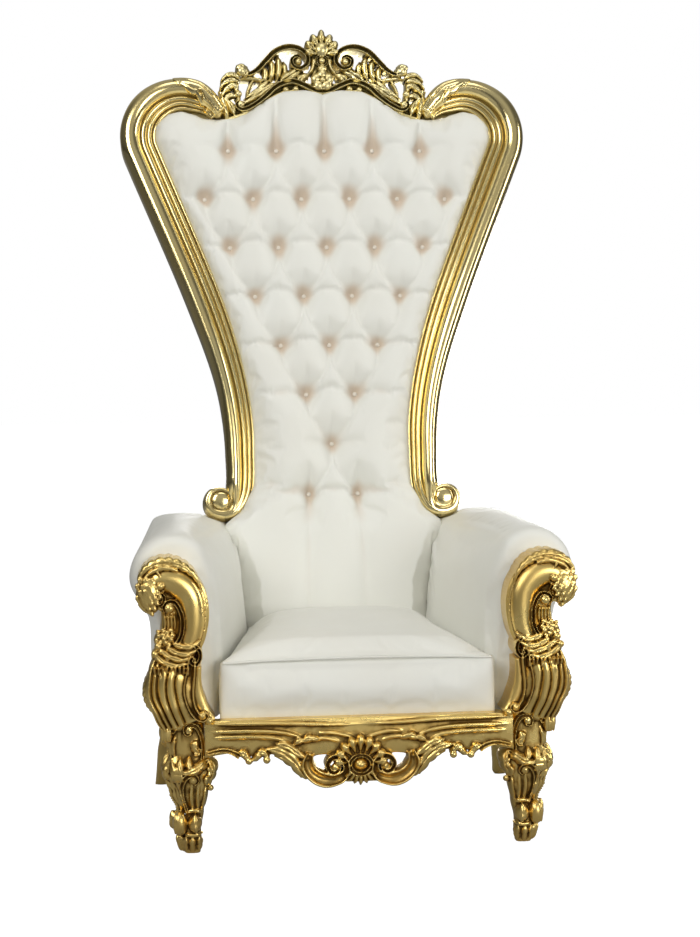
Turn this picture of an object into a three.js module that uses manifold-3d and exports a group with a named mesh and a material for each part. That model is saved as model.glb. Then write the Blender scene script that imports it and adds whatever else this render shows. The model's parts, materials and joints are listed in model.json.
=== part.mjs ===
// A high-backed rococo throne: a carved and gilded timber frame around white upholstery.
// Millimetres, +Z up. The sitter faces -Y, and the front face of the seat rail lies near y = 0
// until the whole throne is moved so that its origin is the middle of its footprint.
import * as THREE from "three";
import { mergeVertices } from "three/addons/utils/BufferGeometryUtils.js";
import Module from "manifold-3d";

const wasm = await Module();
wasm.setup();

// ---- Driving dimensions ----

const GAP = 0.4; // between pieces that meet
const RAIL_TOP = 281; // top of the seat rails, where the upholstery starts
const RAIL_FOOT = 205; // underside of the rails beside the legs
const LEG_INNER_X = 323; // inner face of a front leg's block
const ARM_INNER_FRONT_X = 295; // inner face of an arm at its front
const ARM_INNER_REAR_X = 214; // and where it meets the back
const ARM_FRONT_Y = 76; // front of the arm upholstery, behind the carved scroll
const ARM_REAR_Y = 522;
const ROLL_CENTRE = { x: 388, z: 582 }; // centre of the arm's roll at its front
const ROLL_RADIUS = 90;
const SEAT_FRONT_Y = 34;
const SEAT_EDGE_Z = 402; // seam round the top of the seat
const SEAT_CROWN = 38; // how far the seat rises above that seam
const BACK_RAKE = THREE.MathUtils.degToRad(9.65);
const BACK_PIVOT = { y: 600, z: 680 }; // the back leans about this line
const MEMBER_BACK = 46; // thickness of the back frame behind its face
const BUTTON_PITCH = 117; // across, between buttons in a row
const BUTTON_ROW = 120; // up the back, between rows
const BUTTON_TOP = 870; // the top row, above the pivot
const BUTTONS_IN_ROW = [5, 6, 5, 4, 3, 2, 1, 2]; // from the top
const BUTTON_RADIUS = 9;

// ---- Finishes ----

const gilt = new THREE.MeshStandardMaterial({ color: 0xc9a04a, roughness: 0.3, metalness: 0.9 });
const ivory = new THREE.MeshStandardMaterial({ color: 0xf1ede2, roughness: 0.55, metalness: 0 });

// ---- Solids ----

/** A closed geometry as a solid that can be joined and cut. */
function solid(geometry) {
  const bare = geometry.index ? geometry.toNonIndexed() : geometry.clone();
  bare.deleteAttribute("normal");
  bare.deleteAttribute("uv");
  const merged = mergeVertices(bare, 1e-3);
  return new wasm.Manifold(
    new wasm.Mesh({
      numProp: 3,
      vertProperties: merged.getAttribute("position").array,
      triVerts: new Uint32Array(merged.index.array),
    }),
  );
}

/** A solid as a three.js geometry. */
function geometryOf(made) {
  const mesh = made.getMesh();
  const geometry = new THREE.BufferGeometry();
  geometry.setAttribute("position", new THREE.BufferAttribute(mesh.vertProperties, 3));
  geometry.setIndex(new THREE.BufferAttribute(mesh.triVerts, 1));
  return geometry;
}

/** Several geometries joined into one. */
const fuse = (geometries) => geometryOf(geometries.map(solid).reduce((a, b) => a.add(b)));

/** A geometry with others cut out of it. */
const cut = (geometry, cutters) =>
  geometryOf(cutters.map(solid).reduce((a, b) => a.subtract(b), solid(geometry)));

/** A geometry with a copy of itself mirrored in x beside it. */
function withMirror(geometries) {
  const mirrored = geometries.map((geometry) => {
    const other = (geometry.index ? geometry.toNonIndexed() : geometry.clone()).scale(-1, 1, 1);
    const p = other.getAttribute("position");
    for (let i = 0; i < p.count; i += 3) {
      const [x, y, z] = [p.getX(i), p.getY(i), p.getZ(i)];
      p.setXYZ(i, p.getX(i + 1), p.getY(i + 1), p.getZ(i + 1));
      p.setXYZ(i + 1, x, y, z);
    }
    return other;
  });
  return [...geometries, ...mirrored];
}

/** Moves every vertex of a geometry to where place(x, y, z) says. */
function shaped(geometry, place) {
  const position = geometry.getAttribute("position");
  for (let i = 0; i < position.count; i++) {
    position.setXYZ(i, ...place(position.getX(i), position.getY(i), position.getZ(i)));
  }
  return geometry;
}

const points = (list) => list.map(([x, y]) => new THREE.Vector2(x, y));
const spline = (list) => new THREE.SplineCurve(points(list));
const mix = THREE.MathUtils.lerp;

/** A value that runs smoothly through [t, value] pairs. */
function ramp(...stops) {
  return (t) => {
    const next = Math.max(1, stops.findIndex(([at]) => at >= t));
    const [[t0, v0], [t1, v1]] = [stops[next - 1], stops[next]];
    return mix(v0, v1, THREE.MathUtils.smoothstep(t, t0, t1));
  };
}

/**
 * A carved member: a section swept along a path that lies in the x-z plane. In the section x runs from -1 to 1
 * across the member, positive y is relief towards the viewer and negative y is its thickness behind the face.
 */
function member(path, section, { steps, width, relief = () => 1, lift = () => 0, station = (t) => t }) {
  const shape = new THREE.Shape(points(section));
  const prism = new THREE.ExtrudeGeometry(shape, { depth: 1, steps, bevelEnabled: false });
  return shaped(prism, (x, y, step) => {
    const t = station(step);
    const at = path.getPointAt(t);
    const along = path.getTangentAt(t);
    const across = (x * width(t)) / 2;
    const out = lift(t) + (y > 0 ? y * relief(t) : y);
    return [at.x - along.y * across, -out, at.y + along.x * across];
  });
}

/** A section with a ridge of the given height and thickness. */
const ridge = (height, back) => [
  [-1, -back],
  [1, -back],
  [0.9, 0.4 * height],
  [0, height],
  [-0.9, 0.4 * height],
];

/** A section hollowed between two raised rims, as on a C-scroll. */
const channel = (height, back) => [
  [-1, -back],
  [1, -back],
  [0.8, height],
  [0, 0.4 * height],
  [-0.8, height],
];

/** One carved leaf blade that swells and then tapers along a bent line. */
function blade(from, bend, to, width, height, back, steps = 3) {
  const path = new THREE.QuadraticBezierCurve(...points([from, bend, to]));
  return member(path, ridge(height, back), {
    steps,
    width: (t) => width * (0.3 + 0.7 * Math.sin(Math.PI * Math.min(1, 0.2 + 0.75 * t))),
    relief: (t) => 1 - 0.5 * t,
  });
}

/** A carved boss or berry: part of a ball, flattened by depth. */
function boss(x, y, z, radius, depth = 1, detail = 8) {
  const ball = new THREE.SphereGeometry(radius, detail, Math.max(4, detail - 2));
  return ball.scale(1, depth, 1).translate(x, y, z);
}

// ---- The back, in a frame of its own: x across, y through it (negative to the front), z up its slope ----

const EAR = { x: 345, z: 910, radius: 105 }; // the round shoulder at the top of a side member
const EYE = { x: 267, z: 20, radius: 17 }; // centre of the scroll at its foot

/** The line of a side member: over the ear, down the slope to the waist and round the foot scroll. */
function sidePath() {
  const end = THREE.MathUtils.degToRad(-22);
  const ear = new THREE.EllipseCurve(
    EAR.x, EAR.z, EAR.radius, EAR.radius, THREE.MathUtils.degToRad(150), end, true,
  );
  const leave = new THREE.Vector2(EAR.x + EAR.radius * Math.cos(end), EAR.z + EAR.radius * Math.sin(end));
  const waist = new THREE.Vector2(219, 138);
  const slope = new THREE.CubicBezierCurve(
    leave, new THREE.Vector2(307, 532), new THREE.Vector2(217, 345), waist,
  );
  const scroll = spline([
    [waist.x, waist.y], [219, 72], [226, 22], [242, -5], [267, -11], [289, -2],
    [297, 20], [288, 40], [267, 46], [249, 38], [243, 22],
  ]);
  const path = new THREE.CurvePath();
  path.curves.push(ear, slope, scroll);
  return path;
}

const SIDE = sidePath();
const SIDE_STEPS = 30;
const EAR_STEPS = 10; // of those, on the ear
const SLOPE_STEPS = 10; // and down the slope
const [EAR_END, SLOPE_END] = SIDE.getCurveLengths().map((length) => length / SIDE.getLength());

/** Sections are set closer together round the ear and the scroll than down the slope. */
function sideStation(share) {
  const step = Math.round(share * SIDE_STEPS);
  if (step <= EAR_STEPS) return (EAR_END * step) / EAR_STEPS;
  if (step <= EAR_STEPS + SLOPE_STEPS) return mix(EAR_END, SLOPE_END, (step - EAR_STEPS) / SLOPE_STEPS);
  return mix(SLOPE_END, 1, (step - EAR_STEPS - SLOPE_STEPS) / (SIDE_STEPS - EAR_STEPS - SLOPE_STEPS));
}

const sideWidth = ramp([0, 44], [0.06, 76], [0.16, 88], [0.5, 86], [0.7, 74], [0.84, 68], [0.9, 34], [1, 13]);

const SIDE_SECTION = [
  [-1, -MEMBER_BACK], [1, -MEMBER_BACK], [1, -4], [0.8, 20], [0.5, 24], [0.12, 6], [-0.3, 11], [-0.62, 4], [-1, 6],
];

function sideMember() {
  const body = member(SIDE, SIDE_SECTION, {
    steps: SIDE_STEPS,
    station: sideStation,
    width: sideWidth,
    relief: ramp([0, 0.7], [0.1, 1], [0.84, 1], [1, 0.5]),
  });
  const eye = boss(EYE.x, 0, EYE.z, EYE.radius, 1.3, 7);
  // An acanthus blade wraps the end of the ear, from its crown down to its tip.
  const wrap = new THREE.EllipseCurve(
    EAR.x, EAR.z, EAR.radius + 8, EAR.radius + 8, THREE.MathUtils.degToRad(92), THREE.MathUtils.degToRad(152), false,
  );
  const leaf = member(wrap, ridge(28, 4), {
    steps: 5,
    width: ramp([0, 18], [0.35, 60], [0.8, 46], [1, 30]),
    relief: ramp([0, 0.4], [0.4, 1], [1, 0.8]),
  });
  const hook = member(
    spline([[262, 1000], [284, 988], [296, 972], [288, 958], [272, 958], [266, 968]]),
    ridge(28, 6),
    { steps: 6, width: ramp([0, 12], [0.5, 14], [1, 9]) },
  );
  return fuse([body, eye, leaf, hook]);
}

/** Foot of the crest, from the middle out to the tip of the ear. */
const CREST_FOOT = spline([[-220, 962], [-188, 977], [-140, 1010], [-96, 1034], [-45, 1036], [0, 1030],
  [45, 1036], [96, 1034], [140, 1010], [188, 977], [220, 962]]);
const CREST_FOOT_STEPS = 16;
const CREST_FOOT_WIDTH = 17;
const CREST_BACK = 26; // thickness behind the face
const CREST_TOP = 1187;

function crest() {
  const foot = member(CREST_FOOT, channel(16, CREST_BACK), {
    steps: CREST_FOOT_STEPS,
    width: () => CREST_FOOT_WIDTH,
  });
  const scroll = member(
    spline([[172, 1020], [150, 1068], [122, 1112], [84, 1136], [50, 1134], [27, 1112], [28, 1086],
      [48, 1074], [68, 1084], [70, 1104], [56, 1112]]),
    channel(20, CREST_BACK),
    { steps: 14, width: ramp([0, 12], [0.25, 22], [0.5, 22], [0.75, 15], [1, 9]), relief: ramp([0, 0.6], [0.4, 1], [1, 1]) },
  );
  const eye = boss(55, -10, 1104, 11, 1, 6);
  const straps = [
    blade([150, 1002], [166, 1056], [184, 1092], 34, 18, CREST_BACK, 4),
    blade([208, 972], [212, 1016], [240, 1062], 28, 16, CREST_BACK),
    blade([196, 974], [200, 1036], [206, 1098], 30, 20, CREST_BACK),
    blade([206, 1034], [178, 1040], [152, 1034], 22, 14, CREST_BACK, 2),
    blade([104, 1030], [124, 1056], [116, 1104], 24, 12, CREST_BACK, 2),
    blade([64, 1036], [50, 1060], [36, 1078], 24, 12, CREST_BACK, 2),
  ];
  const side = [scroll, eye, ...straps];
  // The middle: a fan of leaves over a stem of foliage, with a flower below.
  const fan = [-58, -31, 0, 31, 58].map((degrees) => {
    const turn = THREE.MathUtils.degToRad(degrees);
    const reach = degrees === 0 ? CREST_TOP - 1108 : 62;
    const tip = [Math.sin(turn) * reach * 0.62, 1108 + Math.cos(turn) * reach];
    return blade([Math.sin(turn) * 4, 1096], [tip[0] * 0.75, mix(1096, tip[1], 0.5)], tip, 27, 18, CREST_BACK, 2);
  });
  const stem = member(spline([[0, 1030], [0, 1070], [0, 1120]]), ridge(22, CREST_BACK), {
    steps: 4,
    width: ramp([0, 34], [0.4, 26], [1, 40]),
  });
  const flower = boss(0, -18, 1056, 23, 0.8, 7);
  return fuse([foot, stem, ...fan, flower, ...withMirror(side)]);
}

/** A point on an edge of a side member: side is -1 at the edge next to the upholstery and 1 outside. */
function sideEdge(t, side, out = 0) {
  const at = SIDE.getPointAt(t);
  const along = SIDE.getTangentAt(t);
  const across = side * (sideWidth(t) / 2 + out);
  return [at.x - along.y * across, at.y + along.x * across];
}

/** The outline that the frame leaves open, for one half, from the middle of the top to the middle of the foot. */
function openingHalf(clearance) {
  const top = Array.from({ length: CREST_FOOT_STEPS / 2 }, (_, i) => {
    const t = 0.5 + i / CREST_FOOT_STEPS;
    const at = CREST_FOOT.getPointAt(t);
    const along = CREST_FOOT.getTangentAt(t);
    const down = CREST_FOOT_WIDTH / 2 + clearance;
    return [Math.max(0, at.x + along.y * down), at.y - along.x * down - 0.6];
  });
  const tip = [[222, 950], [252, 946], [298, 950]].map(([x, z]) => [x, z - clearance]);
  const side = Array.from({ length: 20 }, (_, i) => sideEdge(sideStation((i + 4) / SIDE_STEPS), -1, clearance));
  const foot = [[214, -30], [238, -46], [230, -90], [220, -170], [212, -270], [205, -394]];
  return [...top, ...tip, ...side, ...foot.map(([x, z]) => [x - clearance, z])];
}

const mirroredOutline = (half) => [...half, ...half.filter(([x]) => x > 0.01).reverse().map(([x, z]) => [-x, z])];

/** The places of the buttons, row by row from the top. */
const BUTTONS = BUTTONS_IN_ROW.flatMap((count, row) =>
  Array.from({ length: count }, (_, i) => ({
    x: (i - (count - 1) / 2) * BUTTON_PITCH,
    z: BUTTON_TOP - row * BUTTON_ROW,
    name: `button_${row + 1}_${i + 1}`,
  })),
);

/** The folds that join each button to the two below it, and the pleats that run out to the edges. */
const FOLDS = [
  ...BUTTONS.flatMap((a) =>
    BUTTONS.filter((b) => Math.abs(a.z - b.z - BUTTON_ROW) < 1 && Math.abs(Math.abs(a.x - b.x) - BUTTON_PITCH / 2) < 1)
      .map((b) => [a, b]),
  ),
  ...BUTTONS.filter((a) => a.z === BUTTON_TOP).map((a) => [a, { x: a.x, z: 1060 }]),
  ...BUTTONS.slice(-2).map((a) => [a, { x: a.x * 1.1, z: -120 }]),
];

function distanceToFold(x, z, [a, b]) {
  const [dx, dz] = [b.x - a.x, b.z - a.z];
  const t = THREE.MathUtils.clamp(((x - a.x) * dx + (z - a.z) * dz) / (dx * dx + dz * dz), 0, 1);
  return Math.hypot(x - a.x - t * dx, z - a.z - t * dz);
}

const PAD_EDGE = 6; // how far the padding stands out at the frame
const PAD_CROWN = 34; // and in its middle
const BUTTON_DEPTH = 24; // how far a button pulls the cover in
const FOLD_DEPTH = 10;
const EDGE_REACH = 90; // distance over which the padding rises

function padRelief(x, z, edge) {
  const nearest = Math.min(...edge.map((fold) => distanceToFold(x, z, fold)));
  const inside = Math.min(1, nearest / EDGE_REACH);
  const rise = mix(PAD_EDGE, PAD_CROWN, Math.sqrt(inside * (2 - inside)));
  const fold = Math.max(...FOLDS.map((f) => Math.exp(-((distanceToFold(x, z, f) / 16) ** 2))));
  const dimple = Math.max(...BUTTONS.map((b) => Math.exp(-(((x - b.x) ** 2 + (z - b.z) ** 2) / 20 ** 2))));
  return rise - Math.max(FOLD_DEPTH * fold, BUTTON_DEPTH * dimple);
}

/** The deep-buttoned padding that fills the frame and runs down between the arms to the seat. */
function backPad() {
  const outline = mirroredOutline(openingHalf(1));
  const edge = outline.map(([x, z], i) => {
    const [nx, nz] = outline[(i + 1) % outline.length];
    return [{ x, z }, { x: nx, z: nz }];
  });
  const column = BUTTON_PITCH / 4;
  const row = BUTTON_ROW / 2;
  const [columns, rows] = [30, 25];
  const top = BUTTON_TOP + 3 * row;
  const block = new THREE.BoxGeometry(columns * column, 160, rows * row, columns, 1, rows);
  block.translate(0, 80, top - (rows * row) / 2);
  const tufted = shaped(block, (x, y, z) => [x, y > 1 ? y : -padRelief(x, z, edge), z]);
  const prism = new THREE.ExtrudeGeometry(new THREE.Shape(points(outline)), { depth: 120, bevelEnabled: false });
  prism.rotateX(Math.PI / 2).translate(0, MEMBER_BACK - 4, 0);
  return geometryOf(solid(tufted).intersect(solid(prism)));
}

/** A domed, covered button whose shank sits in the padding's dimple. */
function button() {
  const profile = [[0, 0], [BUTTON_RADIUS, 7.5], [BUTTON_RADIUS * 0.75, 10.5], [0, 12]];
  return new THREE.LatheGeometry(points(profile), 7).rotateX(Math.PI);
}

/** The plain upholstered panel that closes the back. */
function backPanel() {
  const lower = [[404, -20], [424, -60], [424, -394]];
  const upper = openingHalf(-22).filter(([x, z]) => z > 60);
  const half = [...upper, [208, 40], [250, 4], [330, -8], ...lower];
  const shape = new THREE.Shape(points(mirroredOutline(half)));
  const slab = new THREE.ExtrudeGeometry(shape, {
    depth: 8, bevelEnabled: true, bevelThickness: 3, bevelSize: 3, bevelOffset: -3, bevelSegments: 1,
  });
  return slab.rotateX(Math.PI / 2).translate(0, MEMBER_BACK + GAP + 11, 0);
}

// ---- Arms ----

/** Where the sloping rear panel's front face lies, at a height. */
const panelFaceY = (z) => BACK_PIVOT.y + (z - BACK_PIVOT.z) * Math.tan(BACK_RAKE) + MEMBER_BACK / Math.cos(BACK_RAKE);

/** The upholstered arm: an upright wall that rolls over outwards at the top. */
function armPad() {
  const { x: rx, z: rz } = ROLL_CENTRE;
  const shape = new THREE.Shape();
  shape.moveTo(425, RAIL_TOP + GAP);
  shape.lineTo(428, 470);
  shape.quadraticCurveTo(432, 502, rx + ROLL_RADIUS * 0.72, rz - ROLL_RADIUS * 0.69);
  shape.absarc(rx, rz, ROLL_RADIUS, -0.76, Math.PI * 0.72, false);
  shape.quadraticCurveTo(303, 600, 301, 530);
  shape.lineTo(ARM_INNER_FRONT_X, 400);
  shape.lineTo(ARM_INNER_FRONT_X, RAIL_TOP + GAP);
  shape.closePath();
  const share = [1, 0.55, 0.06, 0.02, 0]; // sections from the rear to the front, the last ones rounded in
  const rounded = [0, 0, 0, 0.06, 0.2];
  const wall = new THREE.ExtrudeGeometry(shape, { depth: 1, steps: 4, bevelEnabled: false, curveSegments: 9 });
  const body = shaped(wall, (x, z, t) => {
    const section = Math.round(t * 4);
    const y = mix(ARM_FRONT_Y, panelFaceY(z) - GAP, share[section]);
    const along = (y - ARM_FRONT_Y) / (ARM_REAR_Y - ARM_FRONT_Y);
    const inner = THREE.MathUtils.clamp((425 - x) / (425 - ARM_INNER_FRONT_X), 0, 1);
    const outer = THREE.MathUtils.clamp((x - 425) / 53, 0, 1);
    const taper = inner * (ARM_INNER_FRONT_X - ARM_INNER_REAR_X) * along + outer * 26 * along;
    const above = THREE.MathUtils.clamp((z - 400) / 100, 0, 1);
    return [mix(x - taper, rx - 20, rounded[section] * (0.4 + 0.6 * above)), y, mix(z, rz, rounded[section] * above)];
  });
  // The back padding and the foot scroll of the side member are let into the arm.
  const half = openingHalf(-1).filter(([, z]) => z < 30);
  const notch = new THREE.Shape(points([[0, 60], [200, 60], ...half, [206, -420], [0, -420]]));
  const padRoom = new THREE.ExtrudeGeometry(notch, { depth: 130, bevelEnabled: false })
    .rotateX(Math.PI / 2)
    .translate(0, MEMBER_BACK + 30, 0);
  const scrollRoom = new THREE.CylinderGeometry(56, 56, 130, 16).translate(EYE.x, MEMBER_BACK + 34 - 65, EYE.z + 6);
  return cut(body, [padRoom, scrollRoom].map(leaned));
}

/** Carries a geometry from the back's own frame into the throne's. */
function leaned(geometry) {
  return geometry.rotateX(-BACK_RAKE).translate(0, BACK_PIVOT.y, BACK_PIVOT.z);
}

const ARM_CARVING_BACK = 60; // thickness of the carved arm front behind its face
const ARM_FACE_Y = ARM_FRONT_Y - GAP - ARM_CARVING_BACK;

/** The carved arm front: a C-scroll that springs from a fluted, swelling foot and ends in a ball. */
function armFront() {
  const line = spline([[350, 262], [376, 300], [391, 350], [386, 402], [369, 444], [356, 480], [353, 520],
    [362, 562], [386, 594], [416, 600], [440, 586], [446, 560]]);
  const section = [
    [-1, -ARM_CARVING_BACK], [1, -ARM_CARVING_BACK], [0.95, 16], [0.6, 8], [0.3, 20], [0, 12], [-0.3, 20],
    [-0.62, 8], [-0.95, 14],
  ];
  const body = member(line, section, {
    steps: 16,
    width: ramp([0, 92], [0.2, 106], [0.36, 80], [0.52, 86], [0.7, 70], [0.86, 46], [1, 40]),
    relief: ramp([0, 0.8], [0.2, 1.5], [0.36, 0.9], [0.6, 0.8], [1, 0.8]),
  });
  const ball = boss(430, -2, 555, 37, 0.75, 9);
  const rim = member(spline([[408, 545], [396, 520], [394, 490], [402, 462]]), ridge(30, 30), {
    steps: 4,
    width: ramp([0, 16], [0.5, 12], [1, 16]),
  });
  // Foliage tied round the neck, above the flutes.
  const collar = [[342, 438], [366, 426], [392, 426], [413, 440]].map(([x, z]) => boss(x, -16, z, 15, 1.1, 6));
  const below = new THREE.BoxGeometry(400, 400, 200).translate(360, 0, RAIL_TOP + GAP - 100);
  return cut(fuse([body, ball, rim, ...collar]), [below]).translate(0, ARM_FACE_Y, 0);
}

// ---- Seat ----

/** The boxed seat, wider at the front, with a domed top. */
function seatPad() {
  const rear = 512;
  const depth = rear - SEAT_FRONT_Y;
  const box = new THREE.BoxGeometry(2, 1, 1, 8, 8, 2);
  return shaped(box, (u, v, w) => {
    const y = SEAT_FRONT_Y + (v + 0.5) * depth;
    const back = Math.max(0, (y - SEAT_FRONT_Y) / (ARM_REAR_Y - SEAT_FRONT_Y));
    const half = mix(ARM_INNER_FRONT_X, ARM_INNER_REAR_X, back) - 2;
    const dome = Math.sqrt(Math.max(0, (1 - u ** 4) * (1 - (2 * v) ** 4)));
    const swell = v < -0.49 ? 6 * (1 - u ** 4) * (w === 0 ? 1 : 0) : 0;
    return [u * half, y - swell, w > 0.4 ? SEAT_EDGE_Z + SEAT_CROWN * dome : mix(RAIL_TOP + GAP, SEAT_EDGE_Z, w + 0.5)];
  });
}

// ---- Rails ----

const APRON_BACK = 30; // thickness of the front rail
const APRON_FACE_Y = 8;

/** The front rail with its pierced apron: a shell and cabochon between two hanging C-scrolls. */
function frontRail() {
  const x = LEG_INNER_X - GAP;
  const shape = new THREE.Shape();
  shape.moveTo(-x, RAIL_TOP);
  shape.lineTo(x, RAIL_TOP);
  shape.lineTo(x, RAIL_FOOT);
  shape.quadraticCurveTo(282, 214, 250, 208);
  shape.quadraticCurveTo(236, 178, 218, 192);
  shape.quadraticCurveTo(198, 172, 184, 196);
  shape.quadraticCurveTo(140, 190, 118, 168);
  shape.quadraticCurveTo(100, 214, 60, 214);
  shape.lineTo(-60, 214);
  shape.quadraticCurveTo(-100, 214, -118, 168);
  shape.quadraticCurveTo(-140, 190, -184, 196);
  shape.quadraticCurveTo(-198, 172, -218, 192);
  shape.quadraticCurveTo(-236, 178, -250, 208);
  shape.quadraticCurveTo(-282, 214, -x, RAIL_FOOT);
  const board = new THREE.ExtrudeGeometry(shape, { depth: APRON_BACK, bevelEnabled: false, curveSegments: 3 });
  board.rotateX(Math.PI / 2).translate(0, APRON_BACK, 0);
  const moulding = member(
    spline([[-x, RAIL_TOP - 9], [-170, RAIL_TOP - 10], [0, RAIL_TOP - 20], [170, RAIL_TOP - 10], [x, RAIL_TOP - 9]]),
    ridge(10, 4),
    { steps: 8, width: () => 15 },
  );
  const scroll = member(
    spline([[168, 204], [140, 186], [118, 158], [92, 142], [64, 142], [44, 158], [42, 180], [58, 192], [74, 184],
      [74, 172]]),
    channel(18, 24),
    { steps: 13, width: ramp([0, 10], [0.25, 24], [0.55, 22], [0.8, 14], [1, 9]) },
  );
  const leaf = blade([196, 214], [158, 216], [126, 176], 26, 12, 20);
  const bump = boss(232, -2, 195, 13, 0.8, 6);
  const shell = Array.from({ length: 7 }, (_, i) => {
    const turn = THREE.MathUtils.degToRad((i - 3) * 27);
    const tip = [Math.sin(turn) * 62, 172 + Math.cos(turn) * 62];
    return blade([Math.sin(turn) * 16, 172 + Math.cos(turn) * 16], [tip[0] * 0.6, mix(172, tip[1], 0.6)], tip, 22, 18, 20, 2);
  });
  const drop = blade([0, 164], [0, 148], [0, 130], 46, 14, 20, 2);
  const cabochon = boss(0, -6, 173, 25, 0.9, 8);
  return fuse([board, moulding, cabochon, ...shell, drop, ...withMirror([scroll, leaf, bump])])
    .translate(0, APRON_FACE_Y, 0);
}

const SIDE_RAIL_OUT_X = 412;
const REAR_LEG_Y = 582; // front face of a rear leg at the rail

/** A side rail with a rounded outer face. */
function sideRail() {
  const section = new THREE.Shape();
  section.moveTo(372, RAIL_TOP);
  section.lineTo(372, 216);
  section.lineTo(SIDE_RAIL_OUT_X - 8, 216);
  section.quadraticCurveTo(SIDE_RAIL_OUT_X + 4, 226, SIDE_RAIL_OUT_X - 6, 240);
  section.quadraticCurveTo(SIDE_RAIL_OUT_X + 10, 262, SIDE_RAIL_OUT_X, RAIL_TOP);
  const from = 98;
  const rail = new THREE.ExtrudeGeometry(section, { depth: REAR_LEG_Y - GAP - from, bevelEnabled: false, curveSegments: 4 });
  return rail.rotateX(Math.PI / 2).translate(0, REAR_LEG_Y - GAP, 0);
}

const REAR_LEG_X = 388;

/** The plain rail across the back. */
function rearRail() {
  const wide = 2 * (REAR_LEG_X - 26 - GAP);
  return new THREE.BoxGeometry(wide, 28, RAIL_TOP - 216).translate(0, REAR_LEG_Y + 18, (RAIL_TOP + 216) / 2);
}

// ---- Legs ----

/** A leg's body: a rounded block carried along a line, with its own place and size at each height. */
function legBody(stops, steps) {
  const rounded = new THREE.Shape();
  const corner = 0.55;
  rounded.moveTo(-corner, -1);
  rounded.lineTo(corner, -1);
  rounded.lineTo(1, -corner);
  rounded.lineTo(1, corner);
  rounded.lineTo(corner, 1);
  rounded.lineTo(-corner, 1);
  rounded.lineTo(-1, corner);
  rounded.lineTo(-1, -corner);
  const column = (key) => ramp(...stops.map((stop) => [stop.z, stop[key]]));
  const [x, y, halfX, halfY] = ["x", "y", "halfX", "halfY"].map(column);
  const top = stops[stops.length - 1].z;
  const prism = new THREE.ExtrudeGeometry(rounded, { depth: 1, steps, bevelEnabled: false });
  return shaped(prism, (sx, sy, t) => {
    const z = t * top;
    return [x(z) + sx * halfX(z), y(z) + sy * halfY(z), z];
  });
}

const FRONT_LEG_Y = 54;

/** A short cabriole leg with a carved knee and a scrolled toe. */
function frontLeg() {
  const top = RAIL_TOP;
  const body = legBody(
    [
      { z: 0, x: 350, y: 56, halfX: 18, halfY: 20 },
      { z: 26, x: 350, y: 54, halfX: 23, halfY: 25 },
      { z: 52, x: 348, y: 54, halfX: 24, halfY: 25 },
      { z: 84, x: 343, y: 58, halfX: 24, halfY: 24 },
      { z: 120, x: 350, y: 54, halfX: 34, halfY: 32 },
      { z: 172, x: 357, y: 48, halfX: 43, halfY: 42 },
      { z: 200, x: LEG_INNER_X + 38.8, y: 52, halfX: 38, halfY: 40 },
      { z: top, x: LEG_INNER_X + 38.6, y: FRONT_LEG_Y, halfX: 38, halfY: 38 },
    ],
    12,
  );
  const toe = boss(374, 40, 46, 20, 1, 7);
  const heel = boss(352, 34, 44, 13, 1, 6);
  const foliage = [
    boss(391, 18, 172, 16, 1, 6), boss(362, 10, 166, 16, 1, 6), boss(312, 22, 178, 13, 1, 6), boss(309, 24, 148, 11, 1, 6),
    boss(402, 40, 262, 15, 1, 6),
  ];
  const kneeScroll = member(
    spline([[386, 262], [356, 266], [336, 248], [333, 214], [342, 184], [368, 176]]),
    ridge(12, 18),
    { steps: 8, width: ramp([0, 12], [0.5, 10], [1, 14]) },
  ).translate(0, 16, 0);
  const shin = member(
    spline([[378, 152], [362, 158], [350, 146], [352, 120], [346, 90]]),
    ridge(9, 18),
    { steps: 6, width: ramp([0, 9], [0.5, 10], [1, 7]) },
  ).translate(0, 22, 0);
  return fuse([body, toe, heel, kneeScroll, shin, ...foliage]);
}

/** A plain raked rear leg. */
function rearLeg() {
  return legBody(
    [
      { z: 0, x: 418, y: 716, halfX: 17, halfY: 18 },
      { z: 60, x: 412, y: 680, halfX: 18, halfY: 19 },
      { z: 200, x: REAR_LEG_X + 2, y: 614, halfX: 23, halfY: 25 },
      { z: RAIL_TOP, x: REAR_LEG_X, y: REAR_LEG_Y + 26, halfX: 26, halfY: 26 },
    ],
    6,
  );
}

// ---- Assembly ----

function piece(name, geometry, material, mirrored = false) {
  const mesh = new THREE.Mesh(geometry, material);
  mesh.name = name;
  if (mirrored) mesh.scale.x = -1;
  return mesh;
}

/** The same piece on both sides; it is drawn on the right. */
const pair = (name, geometry, material) => [
  piece(`${name}_right`, geometry, material),
  piece(`${name}_left`, geometry, material, true),
];

const back = new THREE.Group();
back.rotation.x = -BACK_RAKE;
back.position.set(0, BACK_PIVOT.y, BACK_PIVOT.z);
back.add(
  ...pair("back_side_member", sideMember(), gilt),
  piece("crest", crest(), gilt),
  piece("back_padding", backPad(), ivory),
  piece("rear_panel", backPanel(), ivory),
);
const outlineEdges = mirroredOutline(openingHalf(1));
const edges = outlineEdges.map(([x, z], i) => {
  const [nx, nz] = outlineEdges[(i + 1) % outlineEdges.length];
  return [{ x, z }, { x: nx, z: nz }];
});
for (const { x, z, name } of BUTTONS) {
  const mesh = piece(name, button(), ivory);
  mesh.position.set(x, -padRelief(x, z, edges) - 1.5 * GAP, z);
  back.add(mesh);
}

const throne = new THREE.Group();
throne.add(
  back,
  ...pair("arm_padding", armPad(), ivory),
  ...pair("arm_front", armFront(), gilt),
  ...pair("front_leg", frontLeg(), gilt),
  ...pair("rear_leg", rearLeg(), gilt),
  ...pair("side_rail", sideRail(), gilt),
  piece("front_rail", frontRail(), gilt),
  piece("rear_rail", rearRail(), gilt),
  piece("seat", seatPad(), ivory),
);

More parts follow.
